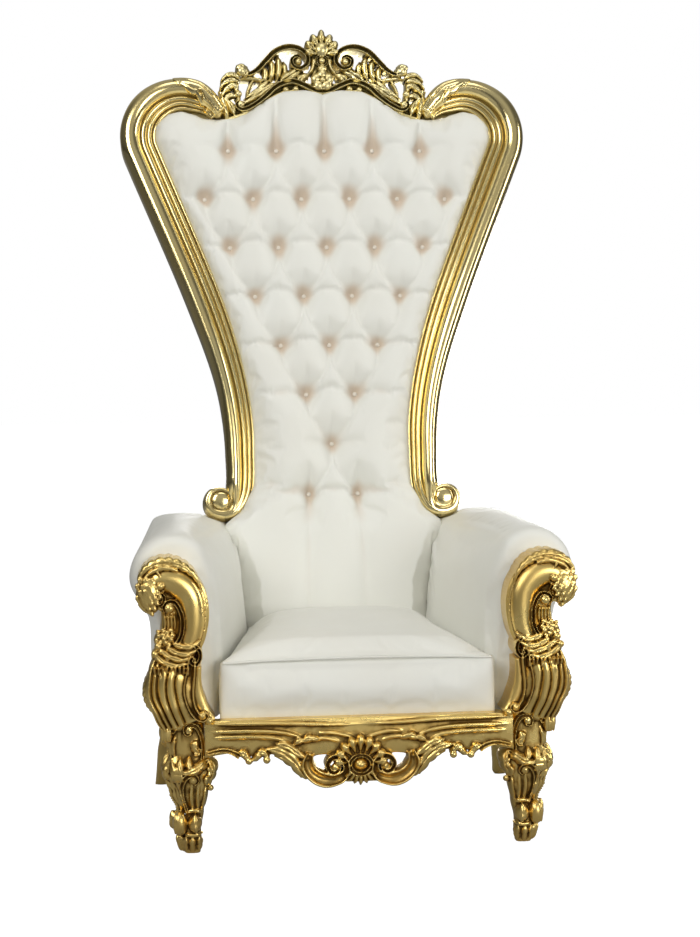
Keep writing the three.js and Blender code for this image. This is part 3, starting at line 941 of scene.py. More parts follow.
@dataclass
class SideMembers:
    """The two shaped uprights, each with a leaf-wrapped ear and a scroll at its foot."""

    datum: Datum
    ear: tuple[float, float, float] = (345, 910, 105)
    eye: tuple[float, float, float] = (267, 20, 17)
    waist: tuple[float, float] = (219, 138)
    thickness: float = 0.046

    def path(self) -> Line:
        """The middle line, over the ear, down the slope and round the foot scroll.

        Returns:
            The line.
        """
        x, z, radius = self.ear
        angle = np.radians(np.linspace(150, -22, 60))[:, None]
        ear = (np.array([[x, z]]) + radius * np.concatenate([np.cos(angle), np.sin(angle)], axis=1)) * MM
        p0, p1 = ear[-1], np.array([0.307, 0.532])
        p2, p3 = np.array([0.217, 0.345]), np.array(self.waist) * MM
        t = np.linspace(0, 1, 120)[1:, None]
        slope = (1 - t) ** 3 * p0 + 3 * (1 - t) ** 2 * t * p1 + 3 * (1 - t) * t**2 * p2 + t**3 * p3
        foot = catmull([
            self.waist, (219, 72), (226, 22), (242, -5), (267, -11), (289, -2), (297, 20), (288, 40),
            (267, 46), (249, 38), (243, 22),
        ])
        return Line(np.concatenate([ear, slope, foot[1:]]))

    @staticmethod
    def width(u: Array) -> Array:
        """The width of the face along the line."""
        return MM * ramp(
            (0, 44), (0.06, 76), (0.16, 88), (0.5, 86), (0.7, 74), (0.84, 68), (0.9, 34), (1, 13)
        )(u)

    @staticmethod
    def moulding(u: Array, x: Array) -> Array:
        """The moulded face: a big half-round roll outside, a flatter roll, then a rib and a bead.

        Args:
            u: Shares along it.
            x: Places across it, from -1 to 1.

        Returns:
            The heights of the face, in metres.
        """
        swell = ramp((0, 0.7), (0.1, 1), (0.84, 1), (1, 0.8))(u)
        roll = 0.029 * bulge(x, 0.44, 0.56)
        flat_roll = 0.0125 * bulge(x, -0.28, 0.2)
        rib_face = 0.0115 * bulge(x, -0.6, 0.15)
        bead = 0.006 * bulge(x, -0.89, 0.11)
        many = np.maximum.reduce([roll, flat_roll, rib_face, bead, 0.0005 + 0 * x])
        rim = np.where(
            x < -0.7, -0.014 + 0.026 * (x + 1) / 0.3,
            np.where(x > 0.5, 0.005, 0.012 + 0.006 * bulge(x, -0.1, 0.6)),
        )
        turned = ramp((0.83, 0), (0.89, 1), (1, 1))(u)
        return swell * ((1 - turned) * many + turned * rim)

    def over(self, u: Array, x: Array, lift: Array) -> Array:
        """Points a little above the moulded face.

        Args:
            u: Shares along the member.
            x: Places across it, from -1 inside to 1 outside.
            lift: Heights above the face.

        Returns:
            Points in space.
        """
        centre, along = self.path().at(u)
        half = self.width(u) / 2 * x
        within = 0.009 + 0.0205 * bulge(x, 0.4, 0.95)
        face = ramp((0, 0.7), (0.1, 1), (1, 1))(u) * np.where(x > 0.4, 0.0295 * bulge(x, 0.4, 0.66), within)
        return self.datum.back(
            centre[:, 0] - along[:, 1] * half, face + lift, centre[:, 1] + along[:, 0] * half
        )

    def draped(
        self,
        start: float,
        end: float,
        outer: Run,
        inner: Run,
        lift: Face,
        columns: int = 110,
        rows: int = 70,
    ) -> Piece:
        """Lays a carved leaf over the moulding.

        Args:
            start: Where it starts along the member.
            end: Where it ends.
            outer: Its outer edge across the member, along its own length.
            inner: Its inner edge.
            lift: Its height above the moulding, along it and across it, 0 being its inner edge.
            columns: Faces along it.
            rows: Faces round it.

        Returns:
            The leaf, closed.
        """

        def place(u: Array, v: Array) -> Array:
            """Finds the points of the skin."""
            level, front = round_section(v, rows)
            share = 0.5 + 0.5 * level
            x = inner(u) + (outer(u) - inner(u)) * share
            edge = np.clip(np.minimum(share, 1 - share) / 0.05, 0, 1)
            ends = np.clip(np.minimum(u, 1 - u) / 0.04, 0, 1)
            top = lift(u, share) * np.sqrt(np.minimum(edge * (2 - edge), ends * (2 - ends)))
            return self.over(start + (end - start) * u, x, np.where(front, top, -0.008))

        piece = sheet("draped_leaf", columns, rows, place)
        close_up(piece)
        return piece

    def ear_leaves(self) -> list[Piece]:
        """Carves the leaf that wraps the ear, with its cut lower edge and its veins.

        Returns:
            The leaves.
        """

        def cut_edge(u: Array) -> Array:
            """The leaf's notched lower edge."""
            run = ramp((0, -0.62), (0.3, -0.5), (0.62, 0.0), (0.9, 0.42), (1, 0.9))(u)
            return run - 0.17 * np.abs(np.sin(np.pi * 3.4 * u)) ** 0.6

        def veined(u: Array, share: Array) -> Array:
            """The leaf's height, with two sunk veins."""
            lines = np.zeros_like(u)
            for at, drop in ((0.38, 0.1), (0.8, 0.14)):
                lines = np.maximum(lines, np.exp(-(((share - at + drop * (1 - u)) / 0.05) ** 2)))
            return ramp((0, 0.0095), (0.7, 0.0085), (1, 0.003))(u) * (
                1 + 0.3 * np.sin(np.pi * share) - 0.4 * lines
            )

        def comma_outer(u: Array) -> Array:
            """The small leaf's outer edge."""
            return ramp((0, -0.2), (0.5, 0.0), (1, 0.34))(u)

        def comma_inner(u: Array) -> Array:
            """The small leaf's inner edge."""
            return ramp((0, -0.42), (0.6, -0.36), (1, 0.3))(u)

        return [
            self.draped(0.0, 0.09, lambda u: 1.0 - 0.04 * u, cut_edge, veined, 150, 110),
            self.draped(
                0.008, 0.05, comma_outer, comma_inner,
                lambda u, share: 0.010 + 0.007 * np.sin(np.pi * share), 60, 40,
            ),
            self.draped(
                0.0, 0.03, lambda u: -0.66 + 0 * u, lambda u: -1.02 + 0.3 * u,
                lambda u, share: 0.006 + 0.006 * np.sin(np.pi * share), 50, 36,
            ),
        ]

    def build(self) -> Piece:
        """Models the right-hand member.

        Returns:
            The finished mesh.
        """
        plane = self.datum.back
        path = self.path()
        body = ribbon(
            plane, path, self.width, self.moulding, self.thickness, columns=330, rows=100, name="member"
        )
        x, z, radius = self.eye
        disc = boss(plane, x + 1, 12, z, radius + 3, 0.24, segments=48)
        drum = ribbon(
            plane, Line.of((x - 19, z), (x + 19, z)), lambda u: 0.042 * np.sqrt(
                np.clip(1 - (2 * u - 1) ** 2, 0.02, 1)
            ),
            lambda u, across: 0.011 + 0 * u, self.thickness, 40, 24,
        )
        tip = [
            rib(plane, Line.of((236, 944), (236, 968), (243, 996), (254, 1022)), 0.015, 0.02, 0.03, 0.004),
            rib(plane, Line.of((262, 956), (252, 968), (246, 986)), 0.018, 0.016, 0.03, 0.004),
            boss(plane, 254, 12, 972, 12, 1.0, segments=20),
        ]
        leafage = fused("leafage", [*self.ear_leaves(), *tip], 0.0015, 1)
        return joined("side_member_carved_right", [body, disc, drum, leafage])

    def install(self, workshop: Workshop) -> None:
        """Places both members.

        Args:
            workshop: Holds the finishes.
        """
        right = self.build()
        left = mirrored(right, "side_member_carved_left")
        for piece, side in ((right, Side.RIGHT), (left, Side.LEFT)):
            workshop.gild(piece, f"back_side_member_{side.word}", angle=50, leaf_of=workshop.burnished)


@dataclass
class Crest:
    """The carved and pierced top of the back."""

    datum: Datum
    thickness: float = 0.026
    voxel: float = 0.0013

    def half(self) -> list[Piece]:
        """Carves the right half.

        Returns:
            The carvings.
        """
        plane = self.datum.back
        back = self.thickness
        line = Line.of
        band = tapered((0, 9), (0.2, 15), (0.42, 17), (0.7, 12), (1, 8))
        swept = line((0, 1019), (20, 1023), (46, 1036), (72, 1045), (97, 1040), (118, 1028), (140, 1007),
                     (166, 987), (190, 975),
                     (205, 977), (210, 988), (202, 996))
        foot = line(
            (0, 1015), (45, 1021), (90, 1020), (126, 1005), (160, 983), (190, 967), (222, 955), (236, 952)
        )
        return [
            ribbon(plane, line((0, 1024), (45, 1031), (92, 1029), (134, 1010), (166, 988), (198, 972),
                               (222, 962), (236, 959)),
                   even(0.028), lambda u, x: 0.004 + 0 * x, back, 120, 24),
            ribbon(plane, foot, even(0.010), rounded(0.003, 0.008), back, 120, 24),
            scroll(
                plane, swept, tapered((0, 13), (0.3, 15), (0.8, 12), (1, 7)), 0.021, 0.45, back, columns=170
            ),
            boss(plane, 199, 10, 988, 9, 1.2, segments=20),
            leaf(
                plane, line((216, 960), (222, 978), (232, 994), (244, 1004)), 0.024, 0.016, 1.5, back, 0.005,
                0.004,
            ),
            boss(plane, 66, 10, 1027, 8, 1.1, 0.85, 18),
            boss(plane, 90, 10, 1025, 8, 1.1, 0.85, 18),
            scroll(
                plane,
                line(
                    (196, 1066), (180, 1062), (160, 1072), (139, 1094), (115, 1118), (84, 1130), (55, 1126),
                    (37, 1110), (36, 1090), (52, 1077), (70, 1083), (74, 1099), (62, 1108), (50, 1103),
                ), band, 0.024, 0.4, back, columns=190,
            ),
            boss(plane, 58, 8, 1095, 10, 1.3, segments=20),
            # Blades that stand inside the scroll.
            rib(plane, line((142, 1086), (139, 1066), (143, 1040)), 0.016, 0.015, back),
            rib(plane, line((126, 1104), (122, 1076), (128, 1044)), 0.017, 0.017, back),
            rib(plane, line((109, 1114), (105, 1082), (112, 1046)), 0.017, 0.017, back),
            rib(plane, line((94, 1098), (90, 1074), (96, 1046)), 0.014, 0.014, back),
            leaf(plane, line((104, 1044), (82, 1058), (64, 1070), (50, 1074)), 0.038, 0.014, 2, back, 0.005),
            leaf(plane, line((60, 1044), (50, 1056), (34, 1064)), 0.028, 0.012, 2, back, 0.004),
            rib(plane, line((24, 1112), (20, 1092), (26, 1074), (40, 1060)), 0.012, 0.016, back),
            # The open work between the scroll and the ear, over a bundle of long leaves.
            leaf(
                plane, line((204, 984), (176, 1000), (148, 1020), (116, 1042)), 0.026, 0.014, 3, back, 0.006,
                full=0.6, columns=70,
            ),
            leaf(
                plane, line((196, 1000), (170, 1016), (146, 1034), (130, 1050)), 0.018, 0.015, 2, back,
                0.005, full=0.6, columns=60,
            ),
            rib(plane, line((138, 1046), (164, 1052), (190, 1054), (206, 1050)), 0.013, 0.014, back),
            rib(plane, line((166, 1052), (178, 1034), (188, 1006)), 0.010, 0.012, back),
            boss(plane, 150, 8, 1036, 7, 1.2, segments=18),
            rib(plane, line((206, 1050), (211, 1030), (206, 1008), (212, 986)), 0.014, 0.014, back),
            boss(plane, 206, 10, 1014, 9, 1.1),
            boss(plane, 213, 9, 1034, 8, 1.1),
            # The leafy head beside the ear.
            leaf(
                plane, line((204, 1036), (222, 1034), (238, 1022), (247, 1006)), 0.020, 0.016, 1.5, back,
                0.005, 0.004,
            ),
            leaf(
                plane, line((203, 1044), (222, 1047), (240, 1040), (251, 1025)), 0.020, 0.018, 1.5, back,
                0.006, 0.005,
            ),
            leaf(
                plane, line((200, 1050), (216, 1060), (234, 1059), (248, 1045)), 0.020, 0.018, 1.5, back,
                0.006, 0.005,
            ),
            leaf(
                plane, line((210, 1006), (226, 1010), (238, 1000), (240, 986)), 0.020, 0.014, 1.5, back,
                0.004, 0.003,
            ),
            leaf(
                plane, line((190, 1052), (188, 1066), (196, 1081), (209, 1081)), 0.028, 0.020, 2, back,
                0.005, 0.006,
            ),
            boss(plane, 197, 16, 1070, 13, 0.9),
            boss(plane, 204, 18, 1078, 8, 0.9),
            boss(plane, 188, 14, 1077, 7, 0.9),
        ]

    def middle(self) -> list[Piece]:
        """Carves the palmette, its bud and the flower below.

        Returns:
            The carvings.
        """
        plane = self.datum.back
        back = self.thickness
        parts = [
            ribbon(
                plane, Line.of((0, 1022), (0, 1074), (0, 1136)),
                tapered(
                    (0, 56), (0.3, 50), (0.6, 38), (0.85, 62), (1, 50)
                ), rounded(0.005, 0.006), back, 50, 30,
            ),
            boss(plane, 0, 12, 1126, 18, 0.8, 1.1, 24),
            scroll(
                plane,
                Line.of(
                    (0, 1110), (12, 1105), (14, 1094), (7, 1085), (-7, 1085), (-14, 1094), (-12, 1105),
                    (0, 1110),
                ), even(0.006), 0.02, 0.2, back,
            ),
            boss(plane, 0, 14, 1097, 8, 1.0, 1.0, 20),
            boss(plane, 0, 13, 1077, 12, 0.8, 0.7, 20),
        ]
        fan = (
            (0, 62, 23), (-25, 55, 25), (25, 55, 25), (-50, 50, 26), (50, 50, 26), (-78, 42, 25),
            (78, 42, 25),
        )
        for degrees, reach, wide in fan:
            turn = math.radians(degrees)
            sin, cos = math.sin(turn), math.cos(turn)
            line = Line.of(
                (sin * 4, 1112 + cos * 2), (
                    sin * reach * 0.6, 1112 + cos * reach * 0.56
                ), (sin * reach * 0.96, 1112 + cos * reach)
            )
            parts.append(leaf(plane, line, wide * MM, 0.015, 2.5, back * 0.8, 0.008, 0.006, full=0.7))
            parts.append(boss(plane, sin * reach * 0.84, 16, 1112 + cos * reach * 0.86, 7, 0.9, segments=14))
        for petal in range(5):
            turn = 2 * math.pi * petal / 5
            sin, cos = math.sin(turn), math.cos(turn)
            parts.append(boss(plane, sin * 16, 15, 1047 + cos * 14.5, 13.5, 0.7, segments=24))
        parts.append(boss(plane, 0, 24, 1047, 6.5, 0.8, segments=16))
        return parts

    def install(self, workshop: Workshop) -> None:
        """Places the crest.

        Args:
            workshop: Holds the finishes.
        """
        right = joined("crest_half", self.half())
        left = mirrored(right, "crest_other_half")
        piece = fused("crest_carved", [right, left, *self.middle()], self.voxel, 1)
        workshop.gild(piece, "crest", leaf_of=workshop.antique)


# ---- Arms, legs and rails ----


@dataclass
class ArmFronts:
    """The carved arm fronts: a ball, a broad sweeping band, a berried neck and a fluted, swelling foot."""

    datum: Datum
    face_y: float = 0.0156
    thickness: float = 0.058
    voxel: float = 0.0014

    def band(self, plane: Plane) -> list[Piece]:
        """Carves the broad band with its beaded edge.

        Args:
            plane: The plane that it lies on.

        Returns:
            The carvings.
        """
        line = Line.of(
            (357, 418), (349, 446), (341, 474), (339, 505), (344, 541), (361, 568), (386, 583), (412, 584),
            (430, 570)
        )
        width = tapered((0, 40), (0.2, 50), (0.45, 58), (0.75, 64), (1, 50))

        def face(u: Array, x: Array) -> Array:
            """The height of the face."""
            dome = 0.004 + 0.022 * np.sqrt(np.clip(1 - ((x + 0.16) / 0.9) ** 2, 0, 1))
            bead = 0.0115 * bulge(x, 0.78, 0.09)
            lip = 0.0075 * bulge(x, 0.94, 0.07)
            return np.maximum.reduce([np.where(x < 0.67, dome, 0.003), bead, lip, 0 * x + 0.002])

        parts = [ribbon(plane, line, width, face, self.thickness, 190, 80)]
        edge = Line.of((332, 436), (318, 470), (313, 508), (317, 545), (332, 580), (352, 605))
        for share in np.linspace(0.3, 0.98, 20):
            spot = edge.at(np.array([share]))[0][0] / MM
            parts.append(boss(plane, spot[0] + 5, 9, spot[1] - 1, 2.6, 1.0, segments=8))
        return parts

    def ball(self, plane: Plane) -> list[Piece]:
        """Carves the leafy ball and the leaf that curls over it.

        Args:
            plane: The plane that it lies on.

        Returns:
            The carvings.
        """
        parts = [boss(plane, 432, 4, 554, 29, 0.95, 1.5, 36)]
        for row in range(7):
            for column in range(5):
                across = (column - 2 + 0.5 * (row % 2)) / 2.6
                up = (row - 3) / 3.5
                if across * across + up * up > 0.82:
                    continue
                out = 3 + 27 * math.sqrt(max(0.05, 1 - across * across - up * up))
                a, b = 432 + 28 * across, 554 + 42 * up
                spine = Line.of((a + 8, b + 9), (a, b), (a - 5, b - 10))
                parts.append(
                    leaf(plane, spine, 0.017, 0.004, 3, 0.012, (out - 2) * MM, 0.003, columns=20, rows=16)
                )
        over = Line.of((326, 556), (340, 588), (368, 610), (402, 617), (434, 608), (456, 586))
        parts += [
            leaf(plane, over, 0.026, 0.008, 10, self.thickness, 0.013, full=0.6, columns=130, rows=50),
            leaf(
                plane, Line.of((372, 600), (398, 607), (426, 600), (446, 584)), 0.014, 0.007, 5, 0.03, 0.019,
                columns=60, rows=24,
            ),
            boss(plane, 404, 0, 548, 26, 0.45, 1.3, 20),
            rib(plane, Line.of((420, 604), (412, 592), (410, 578)), 0.009, 0.028, 0.04),
            boss(plane, 410, 24, 570, 8, 1.0),
            scroll(
                plane, Line.of((416, 556), (407, 553), (403, 543), (408, 532), (416, 530)), even(0.007),
                0.03, back=0.04,
            ),
        ]
        return parts

    def inner_scroll(self, plane: Plane) -> list[Piece]:
        """Carves the small scroll inside the band, with its sunk panel.

        Args:
            plane: The plane that it lies on.

        Returns:
            The carvings.
        """
        rim = Line.of(
            (400, 515), (404, 527), (395, 537), (381, 535), (371, 519), (366, 498), (367, 476), (373, 458),
            (384, 446),
        )
        panel = Line.of((394, 536), (390, 500), (394, 456))
        veins = [
            rib(
                plane, Line.of((384 + 7 * k, 516), (381 + 7 * k, 490), (384 + 7 * k, 466)), 0.006, 0.009,
                0.03,
            ) for k in range(4)
        ]
        return [
            scroll(plane, rim, tapered((0, 8), (0.4, 10), (1, 9)), 0.027, back=self.thickness, columns=90),
            boss(plane, 392, 16, 523, 11, 1.1, segments=24),
            ribbon(plane, panel, even(0.042), lambda u, x: 0.005 * (1 - x**2), self.thickness, 30, 16),
            *veins,
        ]

    def neck(self, plane: Plane) -> list[Piece]:
        """Carves the cluster of berries and the folds that bind the neck.

        Args:
            plane: The plane that it lies on.

        Returns:
            The carvings.
        """
        parts = [boss(plane, 402, 2, 456, 24, 0.9, 1.0, 24), boss(plane, 398, 0, 424, 34, 0.62, 0.75, 32)]
        golden = math.pi * (3 - math.sqrt(5))
        for k in range(17):
            reach = 21 * math.sqrt((k + 0.5) / 17)
            a, b = 401 + reach * math.cos(golden * k), 461 + 1.05 * reach * math.sin(golden * k)
            parts.append(
                boss(plane, a, 23 - 0.022 * reach * reach, b, 5.4 + 0.5 * math.sin(5 * k), 1.0, segments=12)
            )
        folds = (
            ((388, 452), (368, 444), (348, 444), (330, 456)),
            ((402, 444), (378, 431), (354, 428), (334, 440)),
            ((416, 442), (394, 424), (366, 416), (345, 424)),
            ((427, 434), (408, 414), (382, 405), (352, 410)),
        )
        for knots in folds:
            line = Line.of(*knots)
            parts.append(
                leaf(
                    plane, line, 0.021, 0.014, 3, self.thickness, 0.016, 0.004, full=0.35, columns=50,
                    rows=26,
                )
            )
        for a, b, radius in (
            (417, 446, 8), (424, 430, 8), (410, 434, 6), (395, 440, 6), (398, 420, 5.5), (380, 428, 5)
        ):
            parts.append(boss(plane, a, 22, b, radius, 1.0, segments=14))
        clasp = Line.of((342, 446), (332, 434), (331, 418), (340, 406), (350, 412), (347, 423))
        parts.append(scroll(plane, clasp, even(0.009), 0.03, back=self.thickness))
        for k in range(9):
            a = 424 - 8.6 * k
            parts.append(
                rib(
                    plane, Line.of((a, 408 - 0.2 * k), (a + 1, 398), (a + 2 * (k % 2), 384 - 3 * (k % 3))),
                    0.008, 0.034, 0.03,
                )
            )
        return parts

    def foot(self, plane: Plane) -> list[Piece]:
        """Carves the swelling foot: a lined leaf outside, flutes, then a broad strap with a scroll.

        Args:
            plane: The plane that it lies on.

        Returns:
            The carvings.
        """
        body = Line.of((384, 428), (391, 396), (394, 358), (386, 318), (372, 276))
        width = tapered((0, 70), (0.3, 92), (0.55, 104), (0.8, 92), (1, 84))
        swell = ramp((0, 0.014), (0.35, 0.026), (0.7, 0.024), (1, 0.010))

        def flutes(u: Array, x: Array) -> Array:
            """The height of the fluted face."""
            x = -x
            dome = swell(u) * np.sqrt(np.clip(1 - (0.86 * x) ** 2, 0, 1)) + 0.002
            drift = x + 0.1 * np.sin(2.6 * u)
            strap_side = np.maximum(0.006 * bulge(drift, 0.1, 0.16), 0.005 * bulge(drift, -0.22, 0.12))
            lined = 0.0032 * np.sin(27 * x + 1.6 * np.sin(4 * u + 1)) * np.clip((-0.28 - x) * 5, 0, 1)
            groove = -0.004 * np.exp(
                -(((drift - 0.31) / 0.04) ** 2)
            ) - 0.003 * np.exp(-(((drift + 0.06) / 0.03) ** 2))
            return dome + strap_side + lined + groove

        strap = Line.of(
            (348, 420), (351, 390), (356, 350), (350, 318), (338, 298), (327, 292), (320, 299), (327, 307)
        )
        flare = Line.of((334, 400), (338, 350), (328, 316), (306, 287))
        return [
            ribbon(plane, body, width, flutes, self.thickness, 120, 110),
            scroll(
                plane, strap, tapered((0, 18), (0.4, 25), (0.7, 18), (1, 9)), 0.031, 0.3, self.thickness,
                columns=110,
            ),
            boss(plane, 328, 21, 299, 9, 1.0, segments=20),
            boss(plane, 314, 17, 287, 8, 1.0, segments=20),
            ribbon(plane, flare, tapered((0, 12), (0.6, 26), (1, 12)),
                   rounded(0.010, 0.006), self.thickness, 60, 24),
            rib(plane, Line.of((412, 412), (424, 380), (426, 340), (412, 296)), 0.012, 0.021, 0.04),
            leaf(
                plane, Line.of((420, 408), (436, 384), (442, 350), (430, 306)), 0.022, 0.008, 9, 0.05, 0.004,
                full=0.7, columns=90, rows=30,
            ),
            rib(plane, Line.of((398, 410), (404, 380), (402, 340), (394, 290)), 0.011, 0.029, 0.04),
        ]

    def install(self, workshop: Workshop) -> None:
        """Places both arm fronts.

        Args:
            workshop: Holds the finishes.
        """
        plane = self.datum.upright(self.face_y)
        parts = [
            *self.foot(plane), *self.band(plane), *self.ball(plane), *self.inner_scroll(plane),
            *self.neck(plane),
        ]
        right = fused("arm_front_carved_right", parts, self.voxel, 1)
        left = mirrored(right, "arm_front_carved_left")
        for piece, side in ((right, Side.RIGHT), (left, Side.LEFT)):
            workshop.gild(piece, f"arm_front_{side.word}")


@dataclass
class FrontLegs:
    """The short cabriole legs, carved alike on their front and outer faces."""

    datum: Datum
    middle: tuple[float, float] = (0.3605, 0.054)
    voxel: float = 0.0013

    def centre(self, z: Array) -> tuple[Array, Array, Array, Array]:
        """The leg's middle and half sizes at a height, in metres.

        Args:
            z: Heights.

        Returns:
            The middle's two places and the half sizes, in metres.
        """
        x = ramp(
            (0, 0.352), (0.05, 0.351), (0.09, 0.3465), (0.13, 0.349), (0.175, 0.356), (0.21, 0.3605),
            (0.281, 0.3608),
        )
        y = ramp(
            (0, 0.056), (0.05, 0.055), (0.09, 0.06), (0.13, 0.055), (0.175, 0.05), (0.21, 0.053),
            (0.281, 0.054),
        )
        half_x = ramp(
            (0, 0.0165), (0.03, 0.0185), (0.045, 0.017), (0.09, 0.0195), (0.13, 0.030), (0.175, 0.043),
            (0.21, 0.037), (0.281, 0.0374),
        )
        half_y = ramp(
            (0, 0.018), (0.03, 0.022), (0.06, 0.023), (0.09, 0.024), (0.13, 0.032), (0.175, 0.038),
            (0.21, 0.036), (0.281, 0.036),
        )
        return x(z), y(z), half_x(z), half_y(z)

    def body(self) -> Piece:
        """Shapes the leg under its carving.

        Returns:
            The leg.
        """

        def place(u: Array, v: Array) -> Array:
            """Finds the points of the skin."""
            z = 0.0005 + 0.2805 * u
            x, y, half_x, half_y = self.centre(z)
            angle = 2 * np.pi * v
            cos, sin = np.cos(angle), np.sin(angle)
            round_off = (np.abs(cos) ** 3.4 + np.abs(sin) ** 3.4) ** (-1 / 3.4)
            return np.stack(
                [x + half_x * round_off * cos, self.datum.shift + y + half_y * round_off * sin, z], axis=1
            )

        piece = sheet("leg", 90, 60, place)
        close_up(piece)
        return piece

    def skin(self, a: Array, out: Array, b: Array) -> Array:
        """The leg's bulging front as a plane to carve on.

        Args:
            a: Places across.
            out: Heights above the plane.
            b: Places up.

        Returns:
            Points in space.
        """
        x, y, half_x, half_y = self.centre(np.clip(b, 0, 0.281))
        off = np.clip(np.abs(a - x) / half_x, 0, 0.97)
        depth = half_y * (1 - off**3.4) ** (1 / 3.4)
        return np.stack([a, self.datum.shift + y - depth - out, b], axis=1)

    def carving(self) -> list[Piece]:
        """Carves the cartouche, its leaves, the shin panel and the toe.

        Returns:
            The carvings.
        """
        plane = self.skin
        line = Line.of
        frond = tapered((0, 7), (0.35, 12), (1, 7))
        return [
            scroll(plane, line((352, 260), (361, 257), (365, 268), (356, 277), (341, 273), (331, 254),
                               (327, 230), (329, 205)),
                   tapered((0, 7), (0.4, 10), (1, 8)), 0.012, 0.3, 0.012),
            boss(plane, 356, 4, 266, 8.5, 1.0, segments=18),
            scroll(plane, line((385, 262), (394, 268), (396, 278)), even(0.01), 0.012, 0.3, 0.012),
            rib(plane, line((386, 250), (391, 228), (387, 208)), 0.010, 0.008, 0.01),
            leaf(plane, line((340, 244), (345, 232), (342, 216)), 0.020, 0.007, 2, 0.008, 0.001),
            scroll(
                plane, line((342, 228), (336, 224), (338, 215), (346, 214)), even(0.006), 0.008, 0.3, 0.01
            ),
            leaf(plane, line((309, 203), (330, 193), (352, 180), (378, 178)), 0.027, 0.014, 3, 0.012, 0.003),
            leaf(plane, line((384, 176), (394, 190), (396, 208)), 0.020, 0.012, 1, 0.01, 0.004),
            leaf(plane, line((370, 176), (376, 190), (375, 208)), 0.019, 0.012, 1, 0.01, 0.004),
            leaf(plane, line((352, 182), (357, 194), (356, 210)), 0.018, 0.012, 1, 0.01, 0.004),
            leaf(plane, line((394, 190), (404, 180), (404, 160)), 0.024, 0.012, 2, 0.012, 0.002),
            leaf(plane, line((376, 182), (388, 170), (390, 150)), 0.020, 0.009, 2, 0.012, 0.001),
            scroll(plane, line((348, 152), (340, 158), (344, 169), (356, 172), (368, 163), (374, 144),
                               (372, 122), (366, 100), (362, 86)),
                   frond, 0.012, 0.35, 0.012),
            boss(plane, 350, 4, 160, 8, 1.0, segments=18),
            rib(plane, line((383, 160), (379, 134), (371, 106), (364, 88)), 0.012, 0.009, 0.01),
            rib(plane, line((352, 150), (354, 125), (352, 100), (348, 88)), 0.008, 0.004, 0.01),
            rib(plane, line((338, 150), (340, 125), (340, 100), (338, 88)), 0.007, 0.004, 0.01),
            leaf(plane, line((318, 206), (309, 190), (311, 168), (320, 150)), 0.026, 0.018, 2, 0.02, 0.001),
            boss(plane, 318, 8, 158, 9, 1.0, 1.4, segments=18),
            boss(plane, 313, 5, 140, 7, 1.2, segments=16),
            rib(plane, line((322, 148), (324, 120), (332, 88)), 0.010, 0.007, 0.01),
            rib(plane, line((330, 88), (348, 92), (368, 88)), 0.011, 0.008, 0.01),
            boss(plane, 346, 3, 66, 15, 1.0, 1.2, 24),
            leaf(plane, line((346, 88), (346, 68), (344, 48)), 0.020, 0.009, 2, 0.01, 0.012),
            rib(plane, line((330, 43), (350, 40), (374, 43)), 0.010, 0.006, 0.01),
            leaf(plane, line((338, 38), (336, 22), (338, 4)), 0.013, 0.006, 2, 0.008, 0.001),
            leaf(plane, line((352, 38), (353, 22), (352, 2)), 0.014, 0.006, 2, 0.008, 0.001),
            leaf(plane, line((366, 38), (368, 22), (367, 4)), 0.013, 0.006, 2, 0.008, 0.001),
        ]

    def toe(self) -> list[Piece]:
        """Carves the ribbed scroll on the corner of the toe, and the curled leaf over the knee.

        Returns:
            The carvings.
        """
        plane = self.datum.upright(0.040)
        parts = [boss(plane, 378, 2, 65, 16, 1.2, 1.62, 28)]
        for k in range(4):
            parts.append(boss(plane, 370 + 6 * k, 13 - 1.6 * abs(k - 1.5), 65, 3.6, 1.8, 6.0, 14))
        curl = self.datum.upright(0.026)
        parts.append(boss(curl, 404, 2, 262, 15, 1.2, 1.55, 24))
        for k in range(4):
            parts.append(boss(curl, 396 + 5.4 * k, 15 - 1.2 * abs(k - 1.2), 261, 3.6, 1.5, 5.6, 14))
        return parts

    def install(self, workshop: Workshop) -> None:
        """Places both front legs.

        Args:
            workshop: Holds the finishes.
        """
        front = joined("leg_front_carving", self.carving())
        side = front.copy()
        side.data = front.data.copy()
        bpy.context.collection.objects.link(side)
        co = read(front)
        x0, y0 = self.middle[0], self.datum.shift + self.middle[1]
        write(side, np.stack([x0 - (co[:, 1] - y0), y0 - (co[:, 0] - x0), co[:, 2]], axis=1))
        choose(side)
        bpy.ops.object.mode_set(mode="EDIT")
        bpy.ops.mesh.select_all(action="SELECT")
        bpy.ops.mesh.flip_normals()
        bpy.ops.object.mode_set(mode="OBJECT")
        right = fused("leg_carved_right", [self.body(), front, side, *self.toe()], self.voxel, 1)
        left = mirrored(right, "leg_carved_left")
        for piece, which in ((right, Side.RIGHT), (left, Side.LEFT)):
            workshop.gild(piece, f"front_leg_{which.word}")


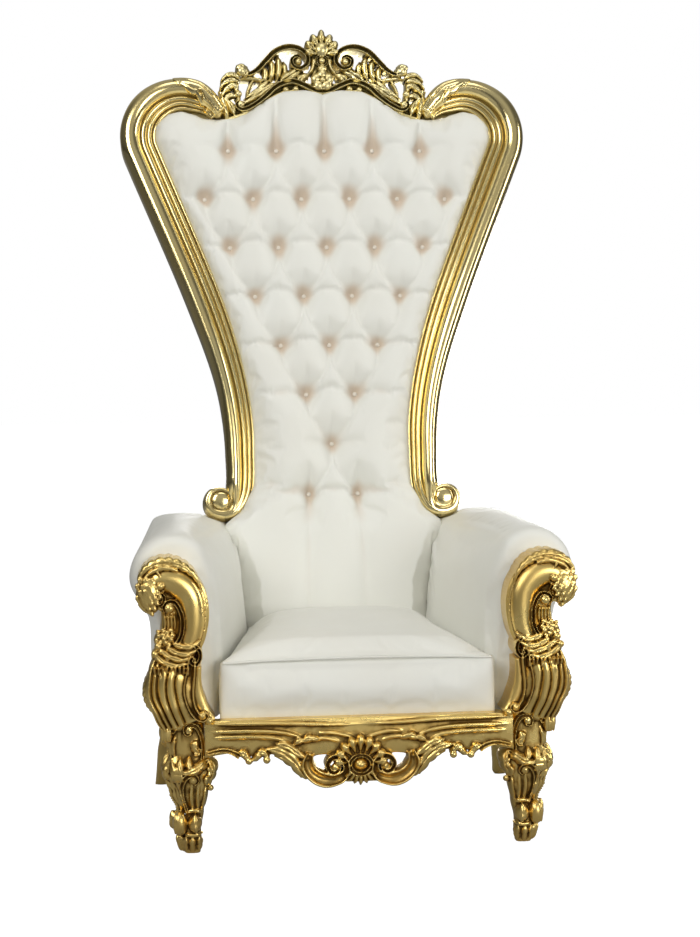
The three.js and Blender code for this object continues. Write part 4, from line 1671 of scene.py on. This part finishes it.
@dataclass
class FrontRail:
    """The carved front rail: reeded top, shell and cabochon, hanging C-scrolls and leafy flanks."""

    datum: Datum
    face_y: float = 0.008
    thickness: float = 0.03
    reach: float = 324.0
    voxel: float = 0.0015

    def board(self, plane: Plane) -> Piece:
        """Cuts the rail's board, whose foot rises and dips.

        Args:
            plane: The plane that it lies on.

        Returns:
            The board.
        """
        foot = Line.of(
            (0, 165), (52, 204), (66, 207), (84, 207), (98, 203), (108, 185), (116, 168), (128, 174),
            (143, 190), (163, 204), (186, 211),
            (205, 209), (215, 211), (232, 208), (250, 211), (262, 216), (300, 212), (self.reach, 207),
        )

        def place(u: Array, v: Array) -> Array:
            """Finds the points of the skin."""
            across = (2 * u - 1) * self.reach * MM
            heel = np.interp(np.abs(across), foot.points[:, 0], foot.points[:, 1])
            top = 0.2845
            level, front = round_section(v, 40)
            share = 0.5 + 0.5 * level
            b = heel + (top - heel) * share
            dome = 0.004 * np.sin(np.pi * np.clip(share, 0, 1)) ** 0.5
            return plane(across, np.where(front, dome, -self.thickness), b)

        piece = sheet("board", 200, 40, place)
        close_up(piece)
        return piece

    def half(self, plane: Plane) -> list[Piece]:
        """Carves the right half.

        Args:
            plane: The plane that it lies on.

        Returns:
            The carvings.
        """
        line = Line.of
        x = self.reach
        back = 0.02
        return [
            rib(
                plane, line((x, 278), (250, 278), (180, 277), (120, 274), (60, 271), (0, 270)), 0.010, 0.011,
                back,
            ),
            rib(
                plane, line((x, 262), (230, 262), (170, 258), (130, 248), (104, 230), (96, 218)), 0.011,
                0.01, back,
            ),
            rib(plane, line((x, 249), (240, 250), (182, 246), (148, 236), (122, 218)), 0.011, 0.009, back),
            rib(plane, line((96, 254), (60, 254), (24, 246), (0, 240)), 0.009, 0.009, back),
            rib(plane, line((100, 243), (64, 241), (36, 232)), 0.008, 0.008, back),
            leaf(plane, line((122, 240), (104, 244), (84, 240)), 0.020, 0.010, 2, back, 0.004),
            leaf(plane, line((140, 232), (124, 240), (106, 237)), 0.018, 0.010, 2, back, 0.004),
            scroll(
                plane,
                line(
                    (106, 212), (111, 192), (104, 174), (86, 160), (62, 155), (40, 162), (30, 177),
                    (34, 195), (48, 204), (62, 201), (70, 188), (64, 175), (53, 172), (46, 181), (52, 188),
                ), tapered((0, 18), (0.12, 32), (0.3, 36), (0.42, 28), (0.55, 16), (0.7, 13), (1, 9)), 0.019,
                0.5, 0.024, columns=190,
            ),
            boss(plane, 53, 8, 182, 9, 1.1, 1.0, 24),
            leaf(
                plane, line((200, 224), (168, 218), (140, 198), (116, 160)), 0.036, 0.012, 3.2, back, 0.003,
                full=0.5, columns=90, rows=40,
            ),
            leaf(plane, line((178, 234), (152, 228), (128, 210), (106, 200)), 0.026, 0.012, 3, back, 0.003),
            rib(plane, line((180, 208), (158, 200), (140, 184), (124, 160)), 0.010, 0.012, back),
            leaf(plane, line((256, 220), (242, 214), (234, 199)), 0.022, 0.013, 2, back, 0.002),
            leaf(plane, line((212, 220), (215, 208), (226, 200)), 0.018, 0.012, 2, back, 0.002),
            boss(plane, 233, 6, 200, 8, 1.1, 1.0, 18),
            boss(plane, 196, 6, 201, 8, 1.1, 1.0, 18),
            leaf(plane, line((216, 220), (202, 216), (192, 202)), 0.020, 0.012, 2, back, 0.002),
            scroll(
                plane, line(
                    (x - 4, 217), (290, 223), (268, 219), (252, 209)
                ), tapered((0, 9), (1, 13)), 0.009,
                0.3, back,
            ),
            rib(plane, line((x, 237), (262, 238), (206, 238), (172, 232)), 0.007, 0.004, back),
        ]

    def middle(self, plane: Plane) -> list[Piece]:
        """Carves the cabochon, the fan of shell ribs above it and the small ribs below.

        Args:
            plane: The plane that it lies on.

        Returns:
            The carvings.
        """
        ring = [(23 * math.sin(t), 187 + 20 * math.cos(t)) for t in np.linspace(0, 2 * math.pi, 13)]
        parts = [
            scroll(plane, Line.of(*ring), even(0.009), 0.02, 0.2, 0.025, columns=100),
            boss(plane, 0, 6, 187, 15, 0.9, 0.85, 28),
            boss(plane, 0, 14, 187, 9, 0.9, 0.8, 24),
            ribbon(plane, Line.of((0, 150), (0, 236)), even(0.07), lambda u, x: 0 * x + 0.006, 0.02, 20, 12),
        ]
        for k in range(-4, 5):
            turn = math.radians(21 * k)
            sin, cos = math.sin(turn), math.cos(turn)
            reach = 59 - 1.2 * abs(k)
            line = Line.of(
                (22 * sin, 188 + 20 * cos), (41 * sin, 188 + 38 * cos), (reach * sin, 188 + reach * cos)
            )
            parts.append(leaf(plane, line, 0.023, 0.013, 2.5, 0.02, 0.006, 0.006, full=0.72))
            parts.append(boss(plane, 0.84 * reach * sin, 14, 188 + 0.84 * reach * cos, 7.5, 0.8, 1.0, 16))
        for k in range(-3, 4):
            turn = math.radians(180 + 17 * k)
            sin, cos = math.sin(turn), math.cos(turn)
            line = Line.of(
                (22 * sin, 187 + 20 * cos), (32 * sin, 187 + 32 * cos),
                (47 * sin, 187 + (46 - 1.2 * abs(k)) * cos),
            )
            parts.append(rib(plane, line, 0.010, 0.018, 0.02))
        return parts

    def install(self, workshop: Workshop) -> None:
        """Places the rail.

        Args:
            workshop: Holds the finishes.
        """
        plane = self.datum.upright(self.face_y)
        right = joined("rail_half", self.half(plane))
        left = mirrored(right, "rail_other_half")
        piece = fused(
            "front_rail_carved", [self.board(plane), right, left, *self.middle(plane)], self.voxel, 1
        )
        workshop.gild(piece, "front_rail")


# ---- Upholstery ----


def from_solid(node: str, name: str, voxel: float, smooth: int) -> Piece:
    """Starts a soft piece from the solid whose room it fills.

    Args:
        node: The solid's name.
        name: The piece's name.
        voxel: The size of its faces.
        smooth: How many times it is smoothed.

    Returns:
        The piece, closed and evenly faced.
    """
    solid = frame["nodes"][node]
    piece = solid.copy()
    piece.data = solid.data.copy()
    piece.name = piece.data.name = name
    piece.hide_render = piece.hide_viewport = False
    bpy.context.collection.objects.link(piece)
    for key in list(piece.keys()):
        del piece[key]
    close_up(piece)
    apply(piece, "REMESH", mode="VOXEL", voxel_size=voxel, adaptivity=0.0)
    apply(piece, "SMOOTH", factor=0.5, iterations=smooth)
    return piece


def sunk_to(co: Array, floor: float) -> Array:
    """Brings a soft piece's rounded underside back down to the rails.

    Args:
        co: Its vertices.
        floor: The height of the rails.

    Returns:
        The vertices.
    """
    share = np.clip(1 - (co[:, 2] - co[:, 2].min()) / 0.02, 0, 1)
    co[:, 2] += (floor - co[:, 2]) * share
    return co


@dataclass(frozen=True)
class Stuffing:
    """How a cover swells over its filling."""

    pressure: float = 4.0
    cap: float = 0.012
    frames: int = 20
    slack: float = 0.0
    stiffness: float = 15.0
    bending: float = 0.5

    def swell(self, piece: Piece, held: Array, keep: Face | None = None) -> None:
        """Lets the cover swell and wrinkle, and fixes the result in the mesh.

        Args:
            piece: The cover.
            held: How firmly each vertex is held, from 0 to 1.
            keep: Holds the swollen cover in its room, given the places before and after, or nothing.
        """
        before = read(piece)
        group = piece.vertex_groups.new(name="held")
        for weight in (0.25, 0.5, 0.75, 1.0):
            chosen = np.nonzero(np.abs(held - weight) <= 0.125)[0]
            if len(chosen):
                group.add(chosen.tolist(), weight, "REPLACE")
        choose(piece)
        cloth = piece.modifiers.new("cover", "CLOTH")
        cover = cloth.settings
        cover.quality = 5
        cover.mass = 0.25
        cover.tension_stiffness = self.stiffness
        cover.compression_stiffness = self.stiffness
        cover.shear_stiffness = self.stiffness / 3
        cover.bending_stiffness = self.bending
        cover.use_pressure = True
        cover.uniform_pressure_force = self.pressure
        cover.effector_weights.gravity = 0
        cover.vertex_group_mass = group.name
        cover.shrink_min = -self.slack
        cloth.collision_settings.use_collision = False
        cloth.point_cache.frame_start = 1
        cloth.point_cache.frame_end = self.frames
        for number in range(1, self.frames + 1):
            bpy.context.scene.frame_set(number)
        bpy.ops.object.modifier_apply(modifier=cloth.name)
        bpy.context.scene.frame_set(1)
        piece.vertex_groups.clear()
        moved = read(piece) - before
        reach = np.linalg.norm(moved, axis=1, keepdims=True)
        after = before + moved * np.minimum(1, self.cap / np.maximum(reach, 1e-9))
        write(piece, keep(before, after) if keep else after)


@dataclass(frozen=True)
class Fold:
    """One fold pressed into a buttoned cover, in metres on the back's plane.

    Args:
        start, end: Where it runs.
        depth: Its depth as a share of a whole fold.
        wide: Its reach.
        bow: How far its middle is pushed aside.
        fade: Above zero, it dies away towards its end.
    """

    start: tuple[float, float]
    end: tuple[float, float]
    depth: float
    wide: float
    bow: tuple[float, float] = (0.0, 0.0)
    fade: float = 0.0

    def pull(self, x: Array, z: Array) -> Array:
        """How far the fold pulls the cover in, as a share of a whole fold.

        The pillow below rises more steeply.

        Args:
            x: Places across.
            z: Places up the slope.

        Returns:
            The shares.
        """
        (x0, z0), (dx, dz) = self.start, np.subtract(self.end, self.start)
        t = np.clip(((x - x0) * dx + (z - z0) * dz) / (dx * dx + dz * dz), 0, 1)
        swing = 4 * t * (1 - t)
        across, up = x - x0 - t * dx - swing * self.bow[0], z - z0 - t * dz - swing * self.bow[1]
        steep = 1.0 if abs(dx) < 0.2 * abs(dz) else np.where(up > 0, 1.35, 0.6)
        depth = self.depth * (0.55 + 0.45 * np.abs(2 * t - 1) ** 1.5) * (1 - self.fade * t)
        return depth * np.exp(-((np.hypot(across, up) / (self.wide * steep)) ** 1.3))


@dataclass
class TuftedBack:
    """The deep-buttoned back, its buttons and its pleats."""

    datum: Datum
    members: SideMembers
    pitch: float = 0.117
    row: float = 0.120
    top: float = 0.870
    counts: tuple[int, ...] = (5, 6, 5, 4, 3, 2, 1, 2)
    edge: float = 0.006
    crown: float = 0.040
    reach: float = 0.085
    dimple: float = 0.034
    sunk: float = 0.007
    fold: float = 0.021
    # Painted shade on the buttons: the hollow level they are given, which darkens them with the hide's crease
    # colour.
    tint: float = 0.62
    columns: int = 136
    rows: int = 208
    stuffing: Stuffing = Stuffing(pressure=5.0, cap=0.011, frames=18, slack=0.03)

    def places(self) -> list[tuple[str, float, float]]:
        """The buttons' node names and places on the back's plane.

        Returns:
            Each button with its places across and up.
        """
        return [
            (f"button_{r + 1}_{i + 1}", (i - (count - 1) / 2) * self.pitch, self.top - r * self.row)
            for r, count in enumerate(self.counts)
            for i in range(count)
        ]

    def half_width(self, z: Array) -> Array:
        """How far the padding reaches out from the middle at a height.

        Args:
            z: Places up the slope.

        Returns:
            The half widths.
        """
        u = np.linspace(0.12, 0.84, 300)
        centre, along = self.members.path().at(u)
        half = self.members.width(u)[:, None] / 2
        inner = centre + np.stack([along[:, 1], -along[:, 0]], axis=1) * half
        inner = inner[inner[:, 1] < 0.925]
        foot = np.array(
            [
                (218, -4), (237, -21), (256, -36), (259, -62), (244, -110), (226, -180), (214, -270),
                (205, -394),
            ]
        ) * MM
        edge = np.concatenate([inner[np.argsort(-inner[:, 1])], foot])
        edge = edge[np.argsort(edge[:, 1])]
        return np.interp(z, edge[:, 1], edge[:, 0]) + 0.002

    @staticmethod
    def top_edge(x: Array) -> Array:
        """How far up the padding reaches, across the back.

        Args:
            x: Places across.

        Returns:
            The heights of the edge.
        """
        knots = np.array([(0, 1018), (45, 1024), (96, 1021), (140, 999), (188, 967), (215, 956), (260, 950),
                          (292, 952),
                          (310, 961), (345, 971), (372, 964), (392, 947), (402, 930)]) * MM
        return np.interp(np.abs(x), knots[:, 0], knots[:, 1])

    def relief(self, x: Array, z: Array, inside: Array) -> Array:
        """The height of the cover above the back's plane.

        Args:
            x: Places across.
            z: Places up the slope.
            inside: Distances from the padding's edge.

        Returns:
            The heights.
        """
        rim = np.clip(inside / self.reach, 0, 1)
        rise = self.edge + (self.crown - self.edge) * np.sqrt(rim * (2 - rim))
        buttons = [(a, b) for _, a, b in self.places()]
        sunk = np.zeros_like(x)
        for a, b in buttons:
            across, up = (x - a) / 0.027, (z - b) / np.where(z > b, 0.050, 0.022)
            star = (np.abs(across) ** 1.15 + np.abs(up) ** 1.15) ** (1 / 1.15)
            sunk = np.maximum(
                sunk, 0.45 * np.exp(-((np.hypot(x - a, z - b) / 0.013) ** 1.8)) + 0.55 * np.exp(-(star**1.5))
            )
        crease = np.zeros_like(x)
        for fold in self.folds(buttons):
            crease = np.maximum(crease, fold.pull(x, z))
        return rise - (self.dimple * sunk + self.fold * crease * (1 - sunk)) * np.clip(inside / 0.02, 0.2, 1)

    def folds(self, buttons: list[tuple[float, float]]) -> list[Fold]:
        """The folds between buttons, and the pleats that run to the crest and the seat.

        Args:
            buttons: The buttons' places.

        Returns:
            The folds.
        """
        folds = []
        for a in buttons:
            row = [b for b in buttons if b[1] == a[1]]
            for b in buttons:
                side = np.sign(b[0] - a[0])
                if abs(a[1] - b[1] - self.row) < 0.001 and abs(abs(a[0] - b[0]) - self.pitch / 2) < 0.001:
                    folds.append(Fold(a, b, 0.9, 0.020, (-0.012 * side, -0.008)))
                if abs(a[1] - b[1]) < 0.001 and abs(b[0] - a[0] - self.pitch) < 0.001:
                    folds.append(Fold(a, b, 0.55, 0.014, (0, 0.012)))
            for end, side in ((min(row), -1), (max(row), 1)):
                if end == a:
                    folds.append(Fold(a, (a[0] + 0.085 * side, a[1] - 0.004), 0.55, 0.014, (0, 0.010), 1.0))
        folds += [Fold(a, (a[0] * 0.98, 1.06), 1.4, 0.016) for a in buttons if a[1] == self.top]
        folds += [Fold(a, (a[0] * 1.25, -0.32), 1.1, 0.014, (0, 0), 0.9) for a in buttons[-2:]]
        return folds

    def build(self) -> Piece:
        """Models the cover and lets it swell.

        Returns:
            The finished mesh.
        """
        low = -0.394

        def flat(u: Array, v: Array) -> tuple[Array, Array]:
            """Each point's place on the back's plane."""
            s = 2 * u - 1
            z = low + (self.top_edge(s * 0.402) - low) * v
            return s * self.half_width(np.minimum(z, 0.925)), z

        def place(u: Array, v: Array) -> Array:
            """Finds the points of the skin."""
            x, z = flat(u, v)
            sides = (1 - np.abs(2 * u - 1)) * self.half_width(np.minimum(z, 0.925))
            above = self.top_edge(x) - z
            inside = np.minimum(sides * (0.93 + 1.8 * np.clip((0.02 - z) / 0.08, 0, 1)), above * 0.9)
            return self.datum.back(x, self.relief(x, z, np.maximum(inside, 0)), z)

        piece = sheet("back_cushion", self.columns, self.rows, place)
        flat_u = np.tile(np.linspace(0, 1, self.columns + 1), self.rows + 1)
        flat_v = np.repeat(np.linspace(0, 1, self.rows + 1), self.columns + 1)
        x, z = flat(flat_u, flat_v)
        held = ((flat_u < 0.004) | (flat_u > 0.996) | (flat_v < 0.003) | (flat_v > 0.997)).astype(float)
        for _, a, b in self.places():
            held[np.hypot(x - a, z - b) < 0.0075] = 1.0
        self.stuffing.swell(piece, held)
        self.close_behind(piece)
        return piece

    def close_behind(self, piece: Piece) -> None:
        """Turns the cover's edge back and closes it behind.

        Args:
            piece: The mesh.
        """
        choose(piece)
        bpy.ops.object.mode_set(mode="EDIT")
        bpy.ops.mesh.select_all(action="SELECT")
        bpy.ops.mesh.region_to_loop()
        bpy.ops.mesh.extrude_region_move()
        sin, cos = math.sin(self.datum.rake), math.cos(self.datum.rake)
        depth = 0.040 + self.edge * 0.5
        bpy.ops.transform.translate(value=(0, depth * cos, -depth * sin))
        bpy.ops.mesh.edge_face_add()
        bpy.ops.mesh.select_all(action="SELECT")
        bpy.ops.mesh.normals_make_consistent(inside=False)
        bpy.ops.object.mode_set(mode="OBJECT")

    def button(self, name: str, a: float, b: float) -> Piece:
        """Models one covered button in its dimple.

        Args:
            name: The solid's name.
            a: Its place across.
            b: Its place up.

        Returns:
            The button.
        """
        piece = boss(self.datum.back, a / MM, 0, b / MM, 5.5, 0.5, segments=20)
        piece.name = piece.data.name = f"covered_{name}"
        low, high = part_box(name)
        depth = (low[1] + high[1]) / 2 - read(piece)[:, 1].mean()
        rise = (low[2] + high[2]) / 2 - read(piece)[:, 2].mean()
        write(piece, read(piece) + np.array([0, depth + self.sunk, rise]))
        return piece

    def install(self, workshop: Workshop) -> None:
        """Places the back and its buttons.

        Args:
            workshop: Holds the finishes.
        """
        workshop.upholster(self.build(), "back_padding", padded=0.8)
        for name, a, b in self.places():
            button = self.button(name, a, b)
            workshop.upholster(button, name)
            # Painted shade: each button gets a fixed hollow level, so the hide's crease colour darkens it.
            hollow_level = np.full(len(button.data.vertices), self.tint, dtype=np.float32)
            button.data.attributes["hollow"].data.foreach_set("value", hollow_level)


@dataclass
class Seat:
    """The boxed seat with a welt along its front."""

    datum: Datum
    voxel: float = 0.0055
    crown: float = 0.02
    seam: float = 0.402
    pulls: tuple[float, ...] = (-0.245, -0.19, -0.135, -0.11, -0.03, 0.07, 0.16, 0.21)
    stuffing: Stuffing = Stuffing(pressure=3.0, cap=0.008, frames=16)

    def build(self) -> Piece:
        """Models the seat cover.

        Returns:
            The finished mesh.
        """
        piece = from_solid("seat", "seat_cushion", self.voxel, 10)
        low, high = (np.array(c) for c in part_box("seat"))
        co = read(piece)
        behind = np.clip((co[:, 1] - low[1] - 0.06) / 0.3, 0, 1)
        above = np.clip((co[:, 2] - high[2] + 0.07) / 0.05, 0, 1)
        across = co[:, 0] / high[0]
        co[:, 2] += self.crown * behind * behind * (3 - 2 * behind) * above * (1 - 0.45 * across * across)
        before = np.clip(1 - (co[:, 1] - low[1]) / 0.03, 0, 1)
        for place, deep in zip(self.pulls, np.resize((1.0, 0.6, 0.8), len(self.pulls))):
            lean = place + 0.01 * (co[:, 2] - low[2])
            line = np.exp(-(((co[:, 0] - lean) / 0.006) ** 2))
            co[:, 1] += 0.0022 * deep * before * line * np.clip((0.39 - co[:, 2]) / 0.05, 0, 1)
        write(piece, sunk_to(co, low[2] - 0.001))
        held = (co[:, 2] < low[2] + 0.012).astype(float)

        def keep(before: Array, after: Array) -> Array:
            """Holds the cover above the rails and between the arms."""
            after[:, 2] = np.maximum(after[:, 2], low[2])
            after[:, 0] = np.sign(after[:, 0]) * np.minimum(
                np.abs(after[:, 0]), np.abs(before[:, 0]) + 0.002
            )
            return after

        self.stuffing.swell(piece, held, keep)
        return piece

    def welt(self, cushion: Piece) -> Piece:
        """Sews a thin welt along the top of the seat's front.

        Args:
            cushion: The finished seat cover, on which the welt lies.

        Returns:
            The welt.
        """
        co = read(cushion)
        co = co[(co[:, 1] < co[:, 1].min() + 0.08) & (np.abs(co[:, 2] - self.seam) < 0.012)]
        reach = np.abs(co[:, 0]).max() - 0.004
        places = np.linspace(-reach, reach, 49)
        front = np.array([co[np.abs(co[:, 0] - x) < 0.02][:, 1].min() for x in places])

        def skin(a: Array, out: Array, b: Array) -> Array:
            """Lies along the seat's front."""
            return np.stack([a, np.interp(a, places, front) - out, b], axis=-1)

        half, rise = reach / MM, self.seam / MM
        line = Line.of(
            (-half, rise - 3), (-0.6 * half, rise + 1), (0, rise + 3), (0.6 * half, rise + 1),
            (half, rise - 3),
        )
        piece = ribbon(skin, line, even(0.0045), rounded(0, 0.0011), 0.004, 120, 16)
        piece.name = piece.data.name = "seat_welt"
        return piece

    def install(self, workshop: Workshop) -> None:
        """Places the seat.

        Args:
            workshop: Holds the finishes.
        """
        cushion = self.build()
        workshop.upholster(cushion, "seat", padded=0.85)
        workshop.upholster(self.welt(cushion))


@dataclass
class Arms:
    """The rolled arms."""

    voxel: float = 0.006
    stuffing: Stuffing = Stuffing(pressure=3.0, cap=0.006, frames=14)

    def install(self, workshop: Workshop) -> None:
        """Places both arms.

        Args:
            workshop: Holds the finishes.
        """
        for side in Side:
            node = f"arm_padding_{side.word}"
            low, high = (np.array(c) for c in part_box(node))
            piece = from_solid(node, f"arm_cushion_{side.word}", self.voxel, 14)
            co = sunk_to(read(piece), low[2] - 0.004)
            write(piece, co)
            held = ((co[:, 2] < low[2] + 0.012) | (co[:, 1] > high[1] - 0.03)).astype(float)
            self.stuffing.swell(piece, held)
            workshop.upholster(piece, node, padded=0.85)


@dataclass
class RearPanel:
    """The plain panel that closes the back."""

    voxel: float = 0.010

    def install(self, workshop: Workshop) -> None:
        """Places the panel.

        Args:
            workshop: Holds the finishes.
        """
        piece = from_solid("rear_panel", "rear_cover", self.voxel, 3)
        write(piece, sunk_to(read(piece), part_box("rear_rail")[1][2] - 0.001))
        workshop.upholster(piece, "rear_panel", padded=0.4)


# ---- The plain frame ----


@dataclass
class PlainFrame:
    """The moulded side and rear rails, and the smooth raked rear legs."""

    voxel: float = 0.005

    @staticmethod
    def moulding(u: Array, x: Array) -> Array:
        """A rail's face: a roll along its foot, a hollow, and a bead under its head."""
        hollow = 0.0075 - 0.0035 * bulge(x, 0.1, 0.6)
        return np.maximum.reduce(
            [hollow, 0.015 * bulge(x, -0.72, 0.28), 0.0125 * bulge(x, 0.82, 0.18), 0 * x + 0.004]
        )

    def rail(self, name: str, node: str, plane: Plane, across: int, out: float) -> Piece:
        """Runs a moulding along a rail.

        Args:
            name: The piece's name.
            node: The rail's own name.
            plane: The plane of its face.
            across: Which axis it runs along, 0 or 1.
            out: Its thickness behind the moulding.

        Returns:
            The rail.
        """
        low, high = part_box(node)
        middle = (low[2] + high[2]) / 2 / MM
        line = Line.of(
            (low[across] / MM, middle), ((low[across] + high[across]) / 2 / MM, middle),
            (high[across] / MM, middle),
        )
        return ribbon(plane, line, even(high[2] - low[2]), self.moulding, out, 40, 90, name=name)

    def leg(self) -> Piece:
        """Smooths the right rear leg and keeps it in its room.

        Returns:
            The leg.
        """
        piece = from_solid("rear_leg_right", "rear_leg_smooth_right", self.voxel, 6)
        co = read(piece)
        low, high = (np.array(corner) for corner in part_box("rear_leg_right"))
        write(piece, low + (co - co.min(axis=0)) / (co.max(axis=0) - co.min(axis=0)) * (high - low))
        return piece

    def install(self, workshop: Workshop) -> None:
        """Places the rails and the rear legs.

        Args:
            workshop: Holds the finishes.
        """
        outer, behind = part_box("side_rail_right")[1][0] - 0.015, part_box("rear_rail")[1][1] - 0.015
        right = self.rail(
            "side_rail_moulded_right", "side_rail_right", lambda a, out, b: np.stack(
                [outer + out, a, b], axis=1
            ), 1,
            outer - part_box("side_rail_right")[0][0],
        )
        rear = self.rail(
            "rear_rail_moulded", "rear_rail", lambda a, out, b: np.stack([-a, behind + out, b], axis=1), 0,
            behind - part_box("rear_rail")[0][1],
        )
        leg = self.leg()
        pieces = (
            (right, "side_rail_right"), (
                mirrored(right, "side_rail_moulded_left"), "side_rail_left"
            ), (rear, "rear_rail"),
            (leg, "rear_leg_right"), (mirrored(leg, "rear_leg_smooth_left"), "rear_leg_left"),
        )
        for piece, node in pieces:
            workshop.gild(piece, node, angle=50)


# ---- Studio ----


@dataclass
class Studio:
    """The paper, the lamps and the camera."""

    datum: Datum
    eye: tuple[float, float, float] = (-0.386, -3.882, 1.020)
    heading: tuple[float, float] = (0.095, 0.9955)
    dip: float = math.radians(3.15)
    roll: float = math.radians(0.65)
    lens: float = 72.47

    def camera(self) -> None:
        """Sets up the camera."""
        data = bpy.data.cameras.new("camera")
        data.lens = self.lens
        data.sensor_width = 36.0
        camera = bpy.data.objects.new("camera", data)
        bpy.context.scene.collection.objects.link(camera)
        x, y, z = self.eye
        camera.location = (x, y + self.datum.shift, z)
        forward = Vector((*self.heading, -math.tan(self.dip)))
        turned = forward.to_track_quat("-Z", "Y")
        camera.rotation_euler = (turned.to_matrix() @ Euler((0, 0, -self.roll)).to_matrix()).to_euler()
        bpy.context.scene.camera = camera

    def lamp(
        self, name: str, place: tuple[float, float, float], size: tuple[float, float], power: float
    ) -> None:
        """Hangs a soft box that faces the throne.

        Args:
            name: Its name.
            place: Where it hangs.
            size: Its width and height.
            power: Its strength in watts.
        """
        data = bpy.data.lights.new(name, "AREA")
        data.shape = "RECTANGLE"
        data.size, data.size_y = size
        data.energy = power
        lamp = bpy.data.objects.new(name, data)
        bpy.context.scene.collection.objects.link(lamp)
        lamp.location = place
        lamp.visible_camera = False
        lamp.rotation_euler = (Vector((0, 0, 0.85)) - Vector(place)).to_track_quat("-Z", "Y").to_euler()

    def world(self) -> None:
        """Fills the studio with soft light, brighter above than below."""
        world = bpy.data.worlds.new("studio")
        world.use_nodes = True
        tree = world.node_tree
        add, link = tree.nodes.new, tree.links.new
        fill = tree.nodes["Background"]
        paper = add("ShaderNodeBackground")
        paper.inputs["Color"].default_value = (1, 1, 1, 1)
        paper.inputs["Strength"].default_value = 1.0
        place = add("ShaderNodeTexCoord")
        split = add("ShaderNodeSeparateXYZ")
        link(place.outputs["Generated"], split.inputs[0])
        ladder = add("ShaderNodeValToRGB")
        stops = ((0.0, 0.3), (0.47, 0.3), (0.56, 0.75), (0.74, 1.1), (1.0, 0.9))
        for k, (at, tone) in enumerate(stops):
            stop = ladder.color_ramp.elements[k] if k < 2 else ladder.color_ramp.elements.new(at)
            stop.position, stop.color = at, (tone, tone, tone * 0.98, 1)
        half = add("ShaderNodeMapRange")
        half.inputs["From Min"].default_value = -1.0
        link(split.outputs["Z"], half.inputs["Value"])
        link(half.outputs["Result"], ladder.inputs["Fac"])
        aside = add("ShaderNodeMath")
        aside.operation = "ABSOLUTE"
        link(split.outputs["X"], aside.inputs[0])
        dusk = add("ShaderNodeMapRange")
        dusk.interpolation_type = "SMOOTHSTEP"
        for key, number in zip(RANGE, (0.35, 0.8, 0.34, 0.1)):
            dusk.inputs[key].default_value = number
        link(aside.outputs[0], dusk.inputs["Value"])
        link(dusk.outputs["Result"], fill.inputs["Strength"])
        link(ladder.outputs["Color"], fill.inputs["Color"])
        path = add("ShaderNodeLightPath")
        mix = add("ShaderNodeMixShader")
        link(path.outputs["Is Camera Ray"], mix.inputs["Fac"])
        link(fill.outputs[0], mix.inputs[1])
        link(paper.outputs[0], mix.inputs[2])
        link(mix.outputs[0], tree.nodes["World Output"].inputs["Surface"])
        bpy.context.scene.world = world

    def floor(self) -> None:
        """Rolls out the paper."""
        bpy.ops.object.select_all(action="DESELECT")
        bpy.ops.mesh.primitive_grid_add(x_subdivisions=20, y_subdivisions=20, size=60, location=(0, 0, 0))
        paper = bpy.context.object
        paper.name = "studio_floor"
        paper.data.materials.append(StudioPaper().make())

    def build(self) -> None:
        """Sets up the whole studio."""
        self.floor()
        self.world()
        self.lamp("key", (-2.7, -2.8, 3.0), (2.3, 2.2), 80)
        self.lamp("front", (2.1, -4.5, 1.5), (2.6, 1.8), 82)
        self.lamp("side", (3.7, -0.5, 1.6), (0.7, 2.8), 40)
        self.lamp("top", (0.2, -1.2, 4.2), (2.2, 1.6), 20)
        self.lamp("rear", (0.9, 4.2, 0.75), (2.6, 1.4), 74)
        bpy.context.scene.view_settings.view_transform = "Standard"
        self.camera()


def dress_nodes(workshop: Workshop) -> None:
    """Gives every solid that still shows its finish.

    Args:
        workshop: Holds the finishes.
    """
    for name, node in frame["nodes"].items():
        slot = next(part["material_slot"] for part in frame["record"]["subparts"] if part["node"] == name)
        material = workshop.gold if slot == "gilt_wood" else workshop.hide
        if not node.data.materials:
            node.data.materials.append(material)
        for place in node.material_slots:
            place.material = material


def main() -> None:
    """Builds the throne piece by piece."""
    logging.basicConfig(level=logging.INFO, format="%(name)s %(message)s")
    datum = Datum.read()
    Studio(datum).build()
    workshop = Workshop()
    dress_nodes(workshop)
    SideMembers(datum).install(workshop)
    Crest(datum).install(workshop)
    ArmFronts(datum).install(workshop)
    FrontLegs(datum).install(workshop)
    FrontRail(datum).install(workshop)
    TuftedBack(datum, SideMembers(datum)).install(workshop)
    Seat(datum).install(workshop)
    Arms().install(workshop)
    RearPanel().install(workshop)
    PlainFrame().install(workshop)


if __name__ == "__main__":
    main()
